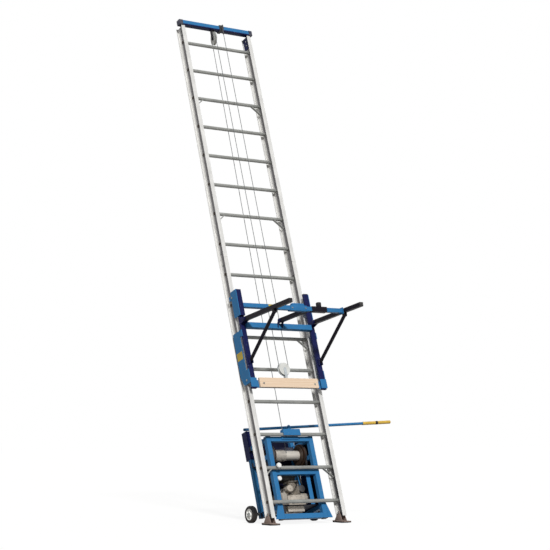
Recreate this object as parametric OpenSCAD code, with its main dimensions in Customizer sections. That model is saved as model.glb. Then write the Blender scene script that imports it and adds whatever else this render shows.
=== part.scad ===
// Ladder platform hoist: a leaning two-section ladder with a powered carriage.
// Local frame of the ladder: x to the right, y to the back, z up along the rails.
// Its origin is the middle of the foot pivot line; place() leans it and sets it on the ground.

/* [Ladder] */
// lean of the rails from vertical, degrees
lean = 18.7; // [16:0.1:21]
// distance between rungs
rung_pitch = 305; // [300:1:310]
// rungs in each of the two sections
section_rungs = 8; // [7:1:9]
// distance between the rail webs
rail_gauge = 752; // [720:2:780]
// depth of a rail from front flange to back flange
rail_depth = 100; // [94:1:104]
// width of a rail flange
flange_w = 40; // [36:1:42]
// thickness of a rail flange
flange_t = 4; // [3:0.5:5]
// thickness of a rail web
web_t = 3; // [2:0.5:4]
// outer diameter of a rung
rung_d = 32; // [28:1:34]
// wall of a rung
rung_wall = 2.5; // [2:0.5:4]

/* [Head] */
// side of the square head crossbar
crossbar_w = 50; // [44:1:54]
// length of the head crossbar
crossbar_len = 822; // [815:1:860]
// pitch radius of the head sheave
head_r = 59; // [56:1:62]
// turn of the head sheave about the rail direction, degrees
head_yaw = 14.6; // [10:0.1:18]
// drop of the head sheave axis below the crossbar
head_drop = 115; // [108:1:118]

/* [Cable] */
// cable diameter
cable_d = 6; // [5:0.5:6]
// distance of the front cable falls from the middle of the rails
fall_front = 90; // [88:0.5:91]
// turns of cable on the drum
drum_turns = 18; // [8:1:18]

/* [Carriage] */
// lower end of the carriage posts above the foot pivots
carriage_z = 1110; // [1000:10:1400]
// length of the carriage posts
post_len = 930; // [920:5:1000]
// width of the carriage posts
post_w = 50; // [46:1:54]
// depth of the carriage posts
post_d = 25; // [22:1:30]
// wall of the square tubes
tube_wall = 3; // [2:0.5:4]
// diameter of the front guide rollers
roller_d = 44; // [42:0.5:44.5]
// pitch radius of the carriage sheave
car_r = 50; // [46:1:54]
// height of the wooden bumper board
board_h = 88; // [80:1:95]
// length of the wooden bumper board
board_len = 630; // [560:5:650]

/* [Platform] */
// length of a platform arm from its hinge
arm_len = 706; // [640:2:760]
// side of the square platform arms
arm_w = 38; // [34:1:40]
// tilt of the arms below the ladder normal, degrees
arm_drop = 9.3; // [7:0.1:11]
// place of the cross tube along the arms
cross_at = 437; // [400:1:460]
// diameter of the braces
brace_d = 25; // [22:1:26]

/* [Power unit] */
// width of the power unit frame
frame_w = 500; // [490:2:520]
// side of the front frame tubes
frame_post = 45; // [42:1:48]
// side of the rear frame tubes
rear_post = 40; // [38:1:42]
// middle of the rear posts behind the ladder plane
rear_y = 340; // [335:1:350]
// radius of the drum barrel
drum_r = 45; // [42:1:48]
// radius of the drum flanges
drum_flange_r = 85; // [82:1:88]
// rim radius of the drum pulley
drum_pulley_r = 100; // [96:1:104]
// rim radius of the engine pulley
engine_pulley_r = 36; // [34:1:40]

/* [Control lever] */
// length of the lever on the right of its pivot
lever_right = 1195; // [1100:5:1250]
// length of the lever on the left of its pivot
lever_left = 482; // [478:1:486]
// diameter of the lever tube
lever_d = 26; // [24:1:28]
// rise of the lever to the right, degrees
lever_tilt = 2.8; // [2:0.1:3.5]
// length of the lever grip
grip_len = 330; // [200:5:400]

/* [Wheels and feet] */
// wheel diameter
wheel_d = 150; // [144:1:160]
// wheel width
wheel_w = 50; // [40:1:54]
// distance between the wheel middles
wheel_track = 672; // [650:2:680]
// height of the foot pivots above the ground
foot_h = 85; // [84:0.5:92]

/* [Hidden] */
$fn = 48;
// general fits
fit = 0.05;
air = 0.3;
gap = 1;
over = 2;
plate_t = 6;
// ladder
half = rail_gauge / 2;
web_in = half - web_t / 2;
web_out = half + web_t / 2;
rail_below = 38;
rail_above = 16;
joint_gap = 1;
section_len = section_rungs * rung_pitch;
joint_z = section_len - rail_below;
top_z = 2 * section_len - rail_below + rail_above;
rung_r = rung_d / 2;
bead_w = 3;
bead_rim = 4;
knee_reach = 112;
knee_drop = 95;
knee_w = 20;
knee_t = 7;
knee_rungs = [2, section_rungs - 2, section_rungs + 2, 2 * section_rungs - 2];
channel_half = rail_depth / 2 - flange_t - gap;
splice_t = 8;
splice_len = 240;
bolt_r = 5;
bolt_head_r = 8.5;
bolt_head_t = 6;
bolt_back = 15;
// head
bracket_drop = 126;
crossbar_lift = 2;
crossbar_back = 35;
crossbar_z = top_z + crossbar_lift + crossbar_w / 2;
cap_t = 6;
sheave_w = 20;
sheave_rim = 8;
groove_t = 1.5;
sheave_pin_r = 8;
cheek_t = 5;
cheek_w = 44;
guard_cheek_r = 54;
head_z = crossbar_z - head_drop;
yoke_t = 8;
band_t = 6;
band_w = 30;
ear_t = 8;
ear_reach = 14;
jaw_t = 6;
jaw_h = 16;
shank_r = 6.5;
shank_len = 55;
// cable
cable_r = cable_d / 2;
head_x = head_r * sin(head_yaw) - car_r;
head_y = head_r * cos(head_yaw) - fall_front;
return_x = head_x + head_r * sin(head_yaw);
return_y = head_y + head_r * cos(head_yaw);
// carriage
carriage_gap = 6;
post_back = -(rail_depth / 2 + roller_d + carriage_gap);
post_y = post_back - post_d / 2;
post_front = post_back - post_d;
post_in = half - post_w / 2;
post_out = half + post_w / 2;
low_tube_w = 50;
low_tube_down = 340;
low_tube_z = carriage_z + post_len - low_tube_down;
tube_y = post_back - low_tube_w / 2;
tube_front = post_back - low_tube_w;
high_tube_w = 40;
high_tube_down = 147;
high_tube_z = carriage_z + post_len - high_tube_down;
tie_h = 70;
tie_up = 10;
foot_plate_h = 85;
foot_plate_side = 8;
tie_t = 10;
board_t = 20;
board_bolt_in = 40;
upper_plate_h = 250;
plate_edge = 14;
lower_plate_up = 55;
lower_plate_h = 495;
lower_plate_back = 20;
lower_plate_slope = 90;
lower_plate_nose = 40;
notch_up = 180;
notch_h = 310;
notch_d = 43;
roller_w = 30;
roller_low = 90;
roller_down = 55;
roller_up = [roller_low, post_len - roller_down];
roller_y = -(rail_depth / 2 + air + roller_d / 2);
stud_r = 6;
stud_shoulder_r = 10;
stud_washer_t = 3;
shoe_d = 22;
shoe_h = 40;
shoe_x = 7;
car_up = 199;
car_z = carriage_z + car_up;
car_w = 16;
car_rim = 8;
car_gap = 2;
car_strap_w = 26;
car_foot_t = 8;
// platform
hinge_down = 300;
hinge_z = carriage_z + post_len - hinge_down;
hinge_ahead = 35;
hinge_y = tube_front - hinge_ahead;
hinge_r = 8;
arm_tail = 14;
ear_r = 18;
lug_t = 5;
lug_low = 28;
lug_high = 20;
flange_plate_w = 58;
brace_at = 452;
brace_below = arm_w / 2 + 20;
brace_pin_r = 6;
brace_ear_t = 5;
brace_ear_r = 12;
brace_tail = 8;
brace_wall = 3;
seat_up = 255;
seat_ahead = 18;
seat_y = post_front - seat_ahead;
seat_z = carriage_z + seat_up;
brace_top_y = hinge_y - brace_at * cos(arm_drop) + brace_below * sin(arm_drop);
brace_top_z = hinge_z - brace_at * sin(arm_drop) - brace_below * cos(arm_drop);
brace_run = brace_top_y - seat_y;
brace_rise = brace_top_z - seat_z;
brace_len = sqrt(brace_run * brace_run + brace_rise * brace_rise);
brace_angle = atan2(-brace_rise, -brace_run);
cleat_x = 102;
cleat_w = 160;
cleat_t = 5;
cleat_knob_x = 9;
cleat_knob_r = 22;
cleat_knob_h = 40;
// power unit
frame_in = frame_w / 2 - frame_post;
frame_y = 25;
frame_back = frame_y + frame_post;
frame_z = -30;
frame_h = 745;
frame_top = frame_z + frame_h;
mid_rail_z = 366;
rear_in = frame_w / 2 - rear_post;
rear_front = rear_y - rear_post / 2;
rear_z = 70;
rear_h = 770;
left_rear_h = 530;
side_rail_z = [60, 520, 670];
rear_rail_z = [140, 670];
hook_rung = 3;
hook_w = 180;
hook_top = 28;
hook_lip = 10;
hook_drop = 14;
hook_leg = 40;
deck_z = side_rail_z[0] + rear_post;
deck_t = 6;
panel_t = 2;
panel_z = 80;
panel_rise = 92;
guard_in = 120;
guard_x = frame_w / 2 - guard_in;
guard_w = 40;
guard_t = 5;
gusset_out = 50;
gusset_top = 115;
engine_y = 190;
engine_z = deck_z + deck_t;
pulley_in = 70;
pulley_x = frame_w / 2 - pulley_in;
drive_gap = 15;
gearbox_len = 55;
case_len = 180;
case_x = pulley_x - drive_gap - gearbox_len - case_len;
case_d = 140;
case_h = 110;
case_round = 18;
case_foot = 8;
case_foot_t = 8;
shaft_up = 82;
shaft_z = engine_z + shaft_up;
cyl_in = 105;
cyl_x = case_x + cyl_in;
cyl_r = 34;
fin_w = 96;
fin_t = 4;
fin_pitch = 11;
fin_count = 9;
cyl_h = 115;
head_cap_h = 14;
cyl_z = engine_z + case_h;
tank_z = cyl_z + cyl_h + head_cap_h;
tank_out = 95;
tank_x = case_x - tank_out;
tank_len = 225;
tank_d = 120;
tank_h = 70;
tank_round = 20;
tank_cap_r = 22;
tank_cap_h = 32;
tank_cap_in = 107;
tank_neck_r = 15;
tank_neck_h = 64;
muffler_r = 32;
muffler_len = 100;
muffler_up = 57;
cleaner_r = 30;
cleaner_len = 58;
cleaner_front = 100;
cleaner_up = 48;
cleaner_knob_share = 0.25;
blower_r = 78;
blower_len = 62;
starter_r = 58;
starter_len = 16;
gearbox_r = 50;
gearbox_bolts = 6;
// drum and drive
drum_y = engine_y;
shaft_r = 12.5;
bearing_up = 30;
drum_z = side_rail_z[1] + rear_post + bearing_up;
drum_in = 135;
drum_x0 = drum_in - frame_w / 2;
drum_out = 85;
drum_x1 = frame_w / 2 - drum_out;
drum_flange_t = 6;
drum_wall = 6;
drum_hole_r = 9;
drum_hole_at = 27;
drum_holes = 4;
brake_x = drum_x0 - drum_flange_t;
brake_r = 75;
brake_w = 29;
band_gap = 0.5;
brake_band_t = 3;
brake_band_w = 23;
brake_turn = 40;
brake_slot = 40;
anchor_d = 24;
anchor_deep = 22;
shaft_len = frame_w - gap;
bearing_r = 29;
bearing_w = 34;
bearing_base_w = 90;
bearing_base_h = 12;
belt_w = 14;
belt_t = 8;
belt_sink = 2;
belt_gap = 0.5;
pulley_w = 22;
pulley_hub_r = 30;
pulley_web_t = 8;
dish_share = 0.75;
loop_rings = 24;
tube_sides = 6;
wind_r = (drum_r + cable_r + air) / cos(180 / loop_rings);
wind_gap = 0.6;
wind_pitch = cable_d + wind_gap;
wind_lead = 8;
wind_x = drum_x0 + cable_d + wind_lead;
wind_end = wind_x + wind_pitch * drum_turns;
// lever
pivot_x = frame_w / 2 - rear_post / 2;
lever_r = lever_d / 2;
pivot_up = 67;
pivot_z = rear_z + rear_h + pivot_up;
pivot_r = 6;
pivot_ear_t = 6;
pivot_ear_r = 18;
pivot_base_t = 6;
lever_wall = 2.5;
grip_t = 3;
housing_y = 74;
housing_z = rear_z + left_rear_h;
housing_h = 262;
housing_wall = 3;
spring_r = 10;
spring_wire_r = 1.5;
spring_coils = 14;
coil_rings = 8;
spring_hole_r = 14;
spring_lead = 4;
// wheels and feet
axle_r = 10;
wheel_z = (wheel_d / 2 - foot_h + rear_y * sin(lean)) / cos(lean);
collar_r = 15;
washer_t = 5;
tyre_t = 26;
hub_boss_r = 22;
hub_disc_w = 12;
foot_bolt_r = 6;
foot_back = 85;
pad_w = 80;
pad_t = 12;
sole_t = 6;
pad_ahead = 105;
pad_behind = 75;
peg_r = 7;
cheek_gap = 1;
foot_cheek_t = 5;
cheek_foot = 58;
cheek_top = 16;
foot_cheek = flange_w / 2 + cheek_gap;
foot_grip = foot_cheek + foot_cheek_t + air;
// Winding on the drum about x: from the left flange to the front, then straight up to the return fall.
wind_step = 360 / loop_rings;
wind_count = drum_turns * loop_rings;
wind_start = 180 + wind_count * wind_step;
wind_path = concat(
    [around(drum_x0, wind_start + wind_step), around(drum_x0 + cable_d, wind_start + wind_step),
        around(wind_x - wind_lead / 4, wind_start + wind_step / 2)],
    [for (i = [0 : wind_count]) around(wind_x + wind_pitch * i / loop_rings, wind_start - i * wind_step)],
    [around(wind_end, 180) + [0, 0, cable_d]]);
wind_sides = concat([for (i = [2, 2, 1]) outward(wind_start + wind_step * i / 2)],
    [for (i = [0 : wind_count]) outward(wind_start - i * wind_step)], [outward(180)]);
echo(drum_cable_self_gap = self_gap(wind_path, loop_rings / 2, cable_d));
// Return spring about z inside its housing, with a straight lead at both ends.
spring_low = housing_z + housing_wall;
coil_low = spring_low + spring_lead;
coil_high = housing_z + housing_h - spring_hole_r;
spring_top = pivot_z - (2 * pivot_x - spring_r) * tan(lever_tilt) - lever_r / cos(lever_tilt) - air;
coil_count = spring_coils * coil_rings;
spring_path = concat([[spring_r, 0, spring_low]],
    [for (i = [0 : coil_count]) let (a = i * 360 / coil_rings)
        [spring_r * cos(a), spring_r * sin(a), coil_low + (coil_high - coil_low) * i / coil_count]],
    [[spring_r, 0, spring_top]]);
spring_sides = concat([[1, 0, 0]],
    [for (i = [0 : coil_count]) [cos(i * 360 / coil_rings), sin(i * 360 / coil_rings), 0]], [[1, 0, 0]]);
echo(return_spring_self_gap = self_gap(spring_path, coil_rings / 2, 2 * spring_wire_r));

// Places the ladder frame on the ground, leaning back.
module place() {
    translate([0, foot_back, foot_h]) rotate([-lean, 0, 0]) children();
}

// Draws its child on the right side and mirrored on the left side.
module both_sides() {
    children();
    mirror([1, 0, 0]) children();
}

// Rod along x from x0 to x1.
module rod_x(r, x0, x1) {
    translate([x0, 0, 0]) rotate([0, 90, 0]) cylinder(r = r, h = x1 - x0);
}

// Rod along y from y0 to y1.
module rod_y(r, y0, y1) {
    translate([0, y0, 0]) rotate([-90, 0, 0]) cylinder(r = r, h = y1 - y0);
}

// Round rod from point p to point q.
module rod_between(p, q, r) {
    v = q - p;
    long = norm(v);
    translate(p) rotate([0, acos(v[2] / long), atan2(v[1], v[0])]) cylinder(r = r, h = long);
}

// Box between two corners.
module block(a, b) {
    translate(a) cube(b - a);
}

// Plate in the y-z plane from x0, t thick towards +x.
module plate_yz(x0, t) {
    translate([x0, 0, 0]) rotate([90, 0, 90]) linear_extrude(t) children();
}

// Plate in the x-z plane from y0, t thick towards +y.
module plate_xz(y0, t) {
    translate([0, y0 + t, 0]) rotate([90, 0, 0]) linear_extrude(t) children();
}

// Rectangle with rounded corners about the origin.
module soft_square(w, d, r) {
    square([w - 2 * r, d], center = true);
    square([w, d - 2 * r], center = true);
    for (sx = [-1, 1], sy = [-1, 1])
        translate([sx * (w / 2 - r), sy * (d / 2 - r)]) circle(r = r);
}

// Section of a square tube.
module tube_section(w, wall) {
    difference() {
        soft_square(w, w, wall);
        square(w - 2 * wall, center = true);
    }
}

// Square tube along z from z0 to z1.
module post(w, wall, z0, z1) {
    translate([0, 0, z0]) linear_extrude(z1 - z0) tube_section(w, wall);
}

// Square tube along x from x0 to x1.
module bar_x(w, wall, x0, x1) {
    translate([x0, 0, 0]) rotate([0, 90, 0]) linear_extrude(x1 - x0) tube_section(w, wall);
}

// Square tube along y from y0 to y1.
module bar_y(w, wall, y0, y1) {
    translate([0, y0, 0]) rotate([-90, 0, 0]) linear_extrude(y1 - y0) tube_section(w, wall);
}

function rung_z(k) = rung_pitch * (k - 1 / 2) - rail_below;

// Section of a rail.
module rail_section() {
    square([web_t, rail_depth], center = true);
    for (s = [-1, 1])
        translate([0, s * (rail_depth - flange_t) / 2]) square([flange_w, flange_t], center = true);
}

// Rail of one section from z0 to z1 with the holes of rungs first to last.
module rail(z0, z1, first) {
    difference() {
        translate([half, 0, z0]) linear_extrude(z1 - z0) rail_section();
        for (k = [first : first + section_rungs - 1])
            translate([0, 0, rung_z(k)]) rod_x(rung_r + fit, web_in - over, web_out + over);
        for (s = [-1, 1])
            translate([0, bolt_back, joint_z + s * splice_len / 4])
                rod_x(bolt_r + fit, web_in - over, web_out + over);
        for (f = [1, 2])
            translate([0, 0, top_z - f * bracket_drop / 3])
                rod_x(bolt_r + fit, web_in - over, web_out + over);
        rod_x(foot_bolt_r + fit, web_in - over, web_out + over);
    }
}

module lower_rails() {
    color("silver") place() both_sides() rail(-rail_below, joint_z - joint_gap, 1);
}

module upper_rails() {
    color("silver") place() both_sides() rail(joint_z + joint_gap, top_z, section_rungs + 1);
}

// Rung with a bead on both faces of each web.
module rung() {
    difference() {
        union() {
            rod_x(rung_r, -web_out, web_out);
            both_sides() {
                rod_x(rung_r + bead_rim, web_out, web_out + bead_w);
                rod_x(rung_r + bead_rim, web_in - bead_w, web_in);
            }
        }
        rod_x(rung_r - rung_wall, -half - flange_w, half + flange_w);
    }
}

module rungs() {
    color("gainsboro") place() for (k = [1 : 2 * section_rungs]) translate([0, 0, rung_z(k)]) rung();
}

// Slanting stay from a rail web up to the underside of a rung at height zero.
module knee() {
    difference() {
        plate_xz(-knee_w / 2, knee_w) polygon([[web_in, -knee_drop - knee_t],
            [web_in, -knee_drop + knee_t], [half - knee_reach + knee_t, 0],
            [half - knee_reach - knee_t, 0]]);
        rod_x(rung_r + fit, 0, half);
    }
}

module knee_braces() {
    color("gainsboro") place() for (k = knee_rungs) translate([0, 0, rung_z(k)]) both_sides() knee();
}

module rail_splices() {
    color("silver") place() both_sides() difference() {
        block([web_in - splice_t, -channel_half, joint_z - splice_len / 2],
            [web_in, channel_half, joint_z + splice_len / 2]);
        for (s = [-1, 1])
            translate([0, bolt_back, joint_z + s * splice_len / 4])
                rod_x(bolt_r + fit, half - flange_w, half);
    }
}

// Bolt along x with its nut at x0 and its head at x1.
module bolt_x(r, x0, x1) {
    rod_x(r, x0 - bolt_head_t, x1);
    rod_x(bolt_head_r, x0 - bolt_head_t, x0);
    rod_x(bolt_head_r, x1, x1 + bolt_head_t);
}

module ladder_bolts() {
    color("dimgray") place() both_sides() {
        for (s = [-1, 1])
            translate([0, bolt_back, joint_z + s * splice_len / 4])
                bolt_x(bolt_r, web_in - splice_t, web_out);
        for (f = [1, 2])
            translate([0, 0, top_z - f * bracket_drop / 3]) bolt_x(bolt_r, web_in - plate_t, web_out);
        translate([half, 0, 0]) bolt_x(foot_bolt_r, -foot_grip, foot_grip);
    }
}

module head_crossbar() {
    color("steelblue") place() translate([0, -crossbar_back, crossbar_z])
        bar_x(crossbar_w, tube_wall, -crossbar_len / 2, crossbar_len / 2);
}

module crossbar_caps() {
    color("black") place() translate([0, -crossbar_back, crossbar_z]) both_sides() {
        translate([crossbar_len / 2, 0, 0]) rotate([0, 90, 0]) linear_extrude(cap_t)
            soft_square(crossbar_w, crossbar_w, tube_wall);
        translate([crossbar_len / 2 - crossbar_w / 2, 0, 0]) rotate([0, 90, 0])
            linear_extrude(crossbar_w / 2) square(crossbar_w - 2 * tube_wall, center = true);
    }
}

module head_brackets() {
    color("midnightblue") place() both_sides() difference() {
        block([web_in - plate_t, -channel_half, top_z - bracket_drop],
            [web_in, channel_half, top_z + crossbar_lift]);
        for (f = [1, 2])
            translate([0, 0, top_z - f * bracket_drop / 3]) rod_x(bolt_r + fit, half - flange_w, half);
    }
}

// Puts its child at the head sheave, with the sheave axis along x.
module at_head() {
    place() translate([head_x, head_y, head_z]) rotate([0, 0, -head_yaw]) children();
}

module head_block() {
    inside = sheave_w / 2 + gap;
    yoke_z = head_drop - crossbar_w / 2;
    color("steelblue") at_head() {
        difference() {
            union() {
                plate_yz(inside, cheek_t) circle(r = guard_cheek_r);
                both_sides() plate_yz(inside, cheek_t) {
                    circle(d = cheek_w);
                    translate([-cheek_w / 2, 0]) square([cheek_w, yoke_z - yoke_t]);
                }
                block([-inside - cheek_t, -cheek_w / 2, yoke_z - yoke_t],
                    [inside + cheek_t, cheek_w / 2, yoke_z]);
            }
            rod_x(sheave_pin_r + fit, -inside - 2 * cheek_t, inside + 2 * cheek_t);
        }
        rod_x(sheave_pin_r, -inside - cheek_t, inside + cheek_t);
        both_sides() rod_x(sheave_pin_r + cheek_t, inside + cheek_t, inside + 2 * cheek_t);
    }
}

// Grooved wheel about z, with its groove at pitch radius r.
module sheave(r, w, rim, bore) {
    floor_r = r - cable_r - air;
    floor_half = cable_r + air;
    rotate_extrude() polygon([[bore, -w / 2], [r + rim, -w / 2], [r + rim, groove_t - w / 2],
        [floor_r, -floor_half], [floor_r, floor_half], [r + rim, w / 2 - groove_t],
        [r + rim, w / 2], [bore, w / 2]]);
}

module head_sheave() {
    color("whitesmoke") at_head() rotate([0, 90, 0])
        sheave(head_r, sheave_w, sheave_rim, sheave_pin_r + fit);
}

module cable_anchor() {
    ear_end = fall_front - crossbar_back + ear_reach;
    color("dimgray") place() translate([car_r, -crossbar_back, crossbar_z]) {
        difference() {
            union() {
                rotate([0, 90, 0]) translate([0, 0, -band_w / 2]) linear_extrude(band_w)
                    square(crossbar_w + 2 * band_t, center = true);
                block([-ear_t / 2, -ear_end, -ear_reach], [ear_t / 2, -crossbar_w / 2, ear_reach]);
            }
            rotate([0, 90, 0]) translate([0, 0, -band_w]) linear_extrude(2 * band_w)
                soft_square(crossbar_w, crossbar_w, tube_wall);
            translate([0, crossbar_back - fall_front, 0]) rod_x(bolt_r + fit, -band_w, band_w);
        }
        translate([0, crossbar_back - fall_front, 0]) {
            rod_x(bolt_r, -ear_t / 2 - jaw_t, ear_t / 2 + jaw_t);
            both_sides() translate([ear_t / 2, -jaw_h / 2, -ear_reach - jaw_h])
                cube([jaw_t, jaw_h, jaw_h * 3 / 2 + ear_reach]);
            translate([-ear_t / 2, -jaw_h / 2, -ear_reach - jaw_h]) cube([ear_t, jaw_h, jaw_h - gap]);
            translate([0, 0, -ear_reach - jaw_h - shank_len]) cylinder(r = shank_r, h = shank_len);
        }
    }
}

module cable_falls() {
    color("lightgray") place() {
        translate([-car_r, -fall_front, car_z]) cylinder(r = cable_r, h = head_z - car_z);
        translate([car_r, -fall_front, car_z])
            cylinder(r = cable_r, h = crossbar_z - ear_reach - jaw_h - shank_len - car_z);
    }
}

module cable_return() {
    color("lightgray") {
        at_head() rotate([0, 90, 0]) rotate([0, 0, 90]) rotate_extrude(angle = 180)
            translate([head_r, 0]) circle(r = cable_r);
        place() rod_between([wind_end, drum_y - wind_r, drum_z + cable_d + air],
            [return_x, return_y, head_z - air], cable_r);
    }
}

module cable_bight() {
    color("lightgray") place() translate([0, -fall_front, car_z]) rotate([90, 0, 0]) rotate([0, 0, 180])
        rotate_extrude(angle = 180) translate([car_r, 0]) circle(r = cable_r);
}

module frame_posts() {
    color("steelblue") place() {
        both_sides() {
            translate([frame_in + frame_post / 2, frame_y + frame_post / 2, 0])
                post(frame_post, tube_wall, frame_z, frame_top);
            plate_xz(frame_y, plate_t) polygon([[frame_w / 2, frame_z],
                [frame_w / 2 + gusset_out, frame_z], [frame_w / 2, gusset_top]]);
        }
        difference() {
            union() {
                translate([rear_in + rear_post / 2, rear_y, 0])
                    post(rear_post, tube_wall, rear_z, rear_z + rear_h);
                translate([-rear_in - rear_post / 2, rear_y, 0])
                    post(rear_post, tube_wall, rear_z, rear_z + left_rear_h);
            }
            translate([0, rear_y, wheel_z]) rod_x(axle_r + fit, -frame_w, frame_w);
        }
    }
}

module frame_rails() {
    color("steelblue") place() {
        for (z = [frame_z, mid_rail_z, frame_top - frame_post])
            translate([0, frame_y + frame_post / 2, z + frame_post / 2])
                bar_x(frame_post, tube_wall, -frame_in, frame_in);
        for (z = side_rail_z)
            both_sides() translate([rear_in + rear_post / 2, 0, z + rear_post / 2])
                bar_y(rear_post, tube_wall, frame_back, rear_front);
        for (z = rear_rail_z)
            translate([0, rear_y, z + rear_post / 2]) bar_x(rear_post, tube_wall, -rear_in, rear_in);
        block([guard_x, frame_back, deck_z + deck_t],
            [guard_x + guard_w, frame_back + guard_t, mid_rail_z + frame_post]);
    }
}

// Wide hook that hangs the power unit on a rung.
module rung_hook() {
    front = rung_r + air + hook_lip;
    color("steelblue") place() translate([0, 0, rung_z(hook_rung)])
        plate_yz(-hook_w / 2, hook_w) difference() {
            union() {
                translate([-front, 0]) square([front + frame_y, rung_r + hook_top]);
                translate([-front, -hook_drop]) square([hook_lip, hook_drop]);
                translate([rung_r + air, -hook_leg]) square([frame_y - rung_r - air, hook_leg]);
            }
            circle(r = rung_r + air);
        }
}

// Engine deck, back sheet and right side sheet.
// The deck, the back sheet and the right sheet, which rises to the back sheet's height.
module unit_panels() {
    high = rear_rail_z[1] + rear_post;
    side_front = frame_y + plate_t + gap;
    color("midnightblue") place() {
        block([-frame_w / 2, frame_back + gap, deck_z],
            [frame_w / 2 - gap, rear_front - gap, deck_z + deck_t]);
        block([gap - rear_in, rear_y + rear_post / 2, panel_z],
            [frame_w / 2, rear_y + rear_post / 2 + panel_t, high + panel_rise]);
        plate_yz(frame_w / 2, panel_t) polygon([[side_front, side_rail_z[0]], [rear_front, side_rail_z[0]],
            [rear_front, high + panel_rise], [side_front, high]]);
    }
}

module engine_crankcase() {
    color("darkgray") place() translate([case_x, engine_y, engine_z]) {
        translate([0, 0, case_h / 2]) rotate([0, 90, 0]) linear_extrude(case_len)
            soft_square(case_h, case_d, case_round);
        translate([-case_foot, -case_d / 2 - case_foot, 0])
            cube([case_len + case_foot, case_d + 2 * case_foot, case_foot_t]);
    }
}

module engine_cylinder() {
    color("silver") place() translate([cyl_x, engine_y, cyl_z]) {
        cylinder(r = cyl_r, h = cyl_h);
        for (i = [0 : fin_count - 1])
            translate([-fin_w / 2, -fin_w / 2, fin_pitch * (i + 1)]) cube([fin_w, fin_w, fin_t]);
        translate([-fin_w / 2, -fin_w / 2, cyl_h]) cube([fin_w, fin_w, head_cap_h]);
    }
}

module blower_housing() {
    color("gray") place() translate([case_x, engine_y, shaft_z]) {
        rod_x(blower_r, -blower_len, -case_foot);
        rod_x(starter_r, -blower_len - starter_len, -blower_len);
        rod_x(starter_r, -case_foot, 0);
    }
}

module fuel_tank() {
    color("black") place() translate([tank_x + tank_len / 2, engine_y, tank_z]) {
        linear_extrude(tank_h) soft_square(tank_len, tank_d, tank_round);
        translate([tank_cap_in - tank_len / 2, 0, tank_h]) {
            cylinder(r = tank_neck_r, h = tank_neck_h);
            translate([0, 0, tank_neck_h]) cylinder(r = tank_cap_r, h = tank_cap_h);
        }
    }
}

module muffler() {
    color("dimgray") place() translate([cyl_x + fin_w / 2 + muffler_r, engine_y, cyl_z + muffler_up])
        rod_y(muffler_r, -muffler_len / 2, muffler_len / 2);
}

module air_cleaner() {
    knob = cleaner_r * cleaner_knob_share;
    color("gainsboro") place()
        translate([cyl_x - fin_w / 2 - cleaner_r, cleaner_front, cyl_z + cleaner_up]) {
            rod_y(cleaner_r, 0, cleaner_len);
            rod_y(knob, -knob, 0);
        }
}

module reduction_gearbox() {
    color("darkgray") place() translate([case_x + case_len, engine_y, shaft_z]) {
        rod_x(gearbox_r, 0, gearbox_len);
        for (i = [0 : gearbox_bolts - 1])
            rotate([i * 360 / gearbox_bolts, 0, 0]) translate([0, 0, gearbox_r - bolt_head_t])
                rod_x(bolt_r, gearbox_len, gearbox_len + bolt_head_t / 2);
    }
}

// Outline of a belt run at sink below both rims.
module belt_outline(sink) {
    big = drum_pulley_r - sink;
    small = engine_pulley_r - sink;
    far = drum_z - shaft_z;
    nz = (small - big) / far;
    ny = sqrt(1 - nz * nz);
    translate([0, far]) circle(r = big);
    circle(r = small);
    polygon([[big * ny, far + big * nz], [small * ny, small * nz], [-small * ny, small * nz],
        [-big * ny, far + big * nz]]);
}

module drive_belt() {
    x0 = pulley_x + (pulley_w - belt_w) / 2;
    color("black") place() translate([0, drum_y, shaft_z]) difference() {
        plate_yz(x0, belt_w) belt_outline(belt_sink);
        plate_yz(x0 - over, belt_w + 2 * over) belt_outline(belt_sink + belt_t);
    }
}

// Half section of a pulley rim with its belt groove, from hub radius to rim radius.
module pulley(rim, hub) {
    groove = rim - belt_sink - belt_t - belt_gap;
    side = (pulley_w - belt_w) / 2 - belt_gap;
    rotate_extrude() {
        translate([hub, 0]) square([groove - hub, pulley_w]);
        translate([groove, 0]) square([rim - groove, side]);
        translate([groove, pulley_w - side]) square([rim - groove, side]);
    }
}

module drum_pulley() {
    color("saddlebrown") place() translate([pulley_x, drum_y, drum_z]) rotate([0, 90, 0]) {
        difference() {
            pulley(drum_pulley_r, shaft_r + fit);
            difference() {
                translate([0, 0, pulley_web_t]) cylinder(r = drum_pulley_r * dish_share, h = pulley_w);
                cylinder(r = pulley_hub_r, h = pulley_w);
            }
        }
        difference() {
            translate([0, 0, drum_x1 + drum_flange_t - pulley_x])
                cylinder(r = pulley_hub_r, h = pulley_x - drum_x1 - drum_flange_t);
            translate([0, 0, drum_x1 - pulley_x]) cylinder(r = shaft_r + fit, h = 2 * pulley_w);
        }
    }
}

module engine_pulley() {
    nose = pulley_x - case_x - case_len - gearbox_len;
    color("dimgray") place() translate([pulley_x, engine_y, shaft_z]) {
        rotate([0, 90, 0]) pulley(engine_pulley_r, 0);
        rod_x(shaft_r, -nose + air, 0);
    }
}

// Annular ring along x from x0 to x1.
module ring_x(outer, inner, x0, x1) {
    difference() {
        rod_x(outer, x0, x1);
        rod_x(inner, x0 - over, x1 + over);
    }
}

module drum() {
    color("lightgray") place() translate([0, drum_y, drum_z]) difference() {
        union() {
            rod_x(shaft_r, -shaft_len / 2, shaft_len / 2);
            ring_x(drum_r, drum_r - drum_wall, drum_x0, drum_x1);
            rod_x(drum_flange_r, brake_x, drum_x0);
            rod_x(drum_flange_r, drum_x1, drum_x1 + drum_flange_t);
            ring_x(brake_r, brake_r - drum_wall, brake_x - brake_w, brake_x);
        }
        for (i = [0 : drum_holes - 1])
            rotate([i * 360 / drum_holes, 0, 0]) translate([0, 0, drum_hole_at])
                rod_x(drum_hole_r, brake_x - over, drum_x1 + drum_flange_t + over);
    }
}

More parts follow.
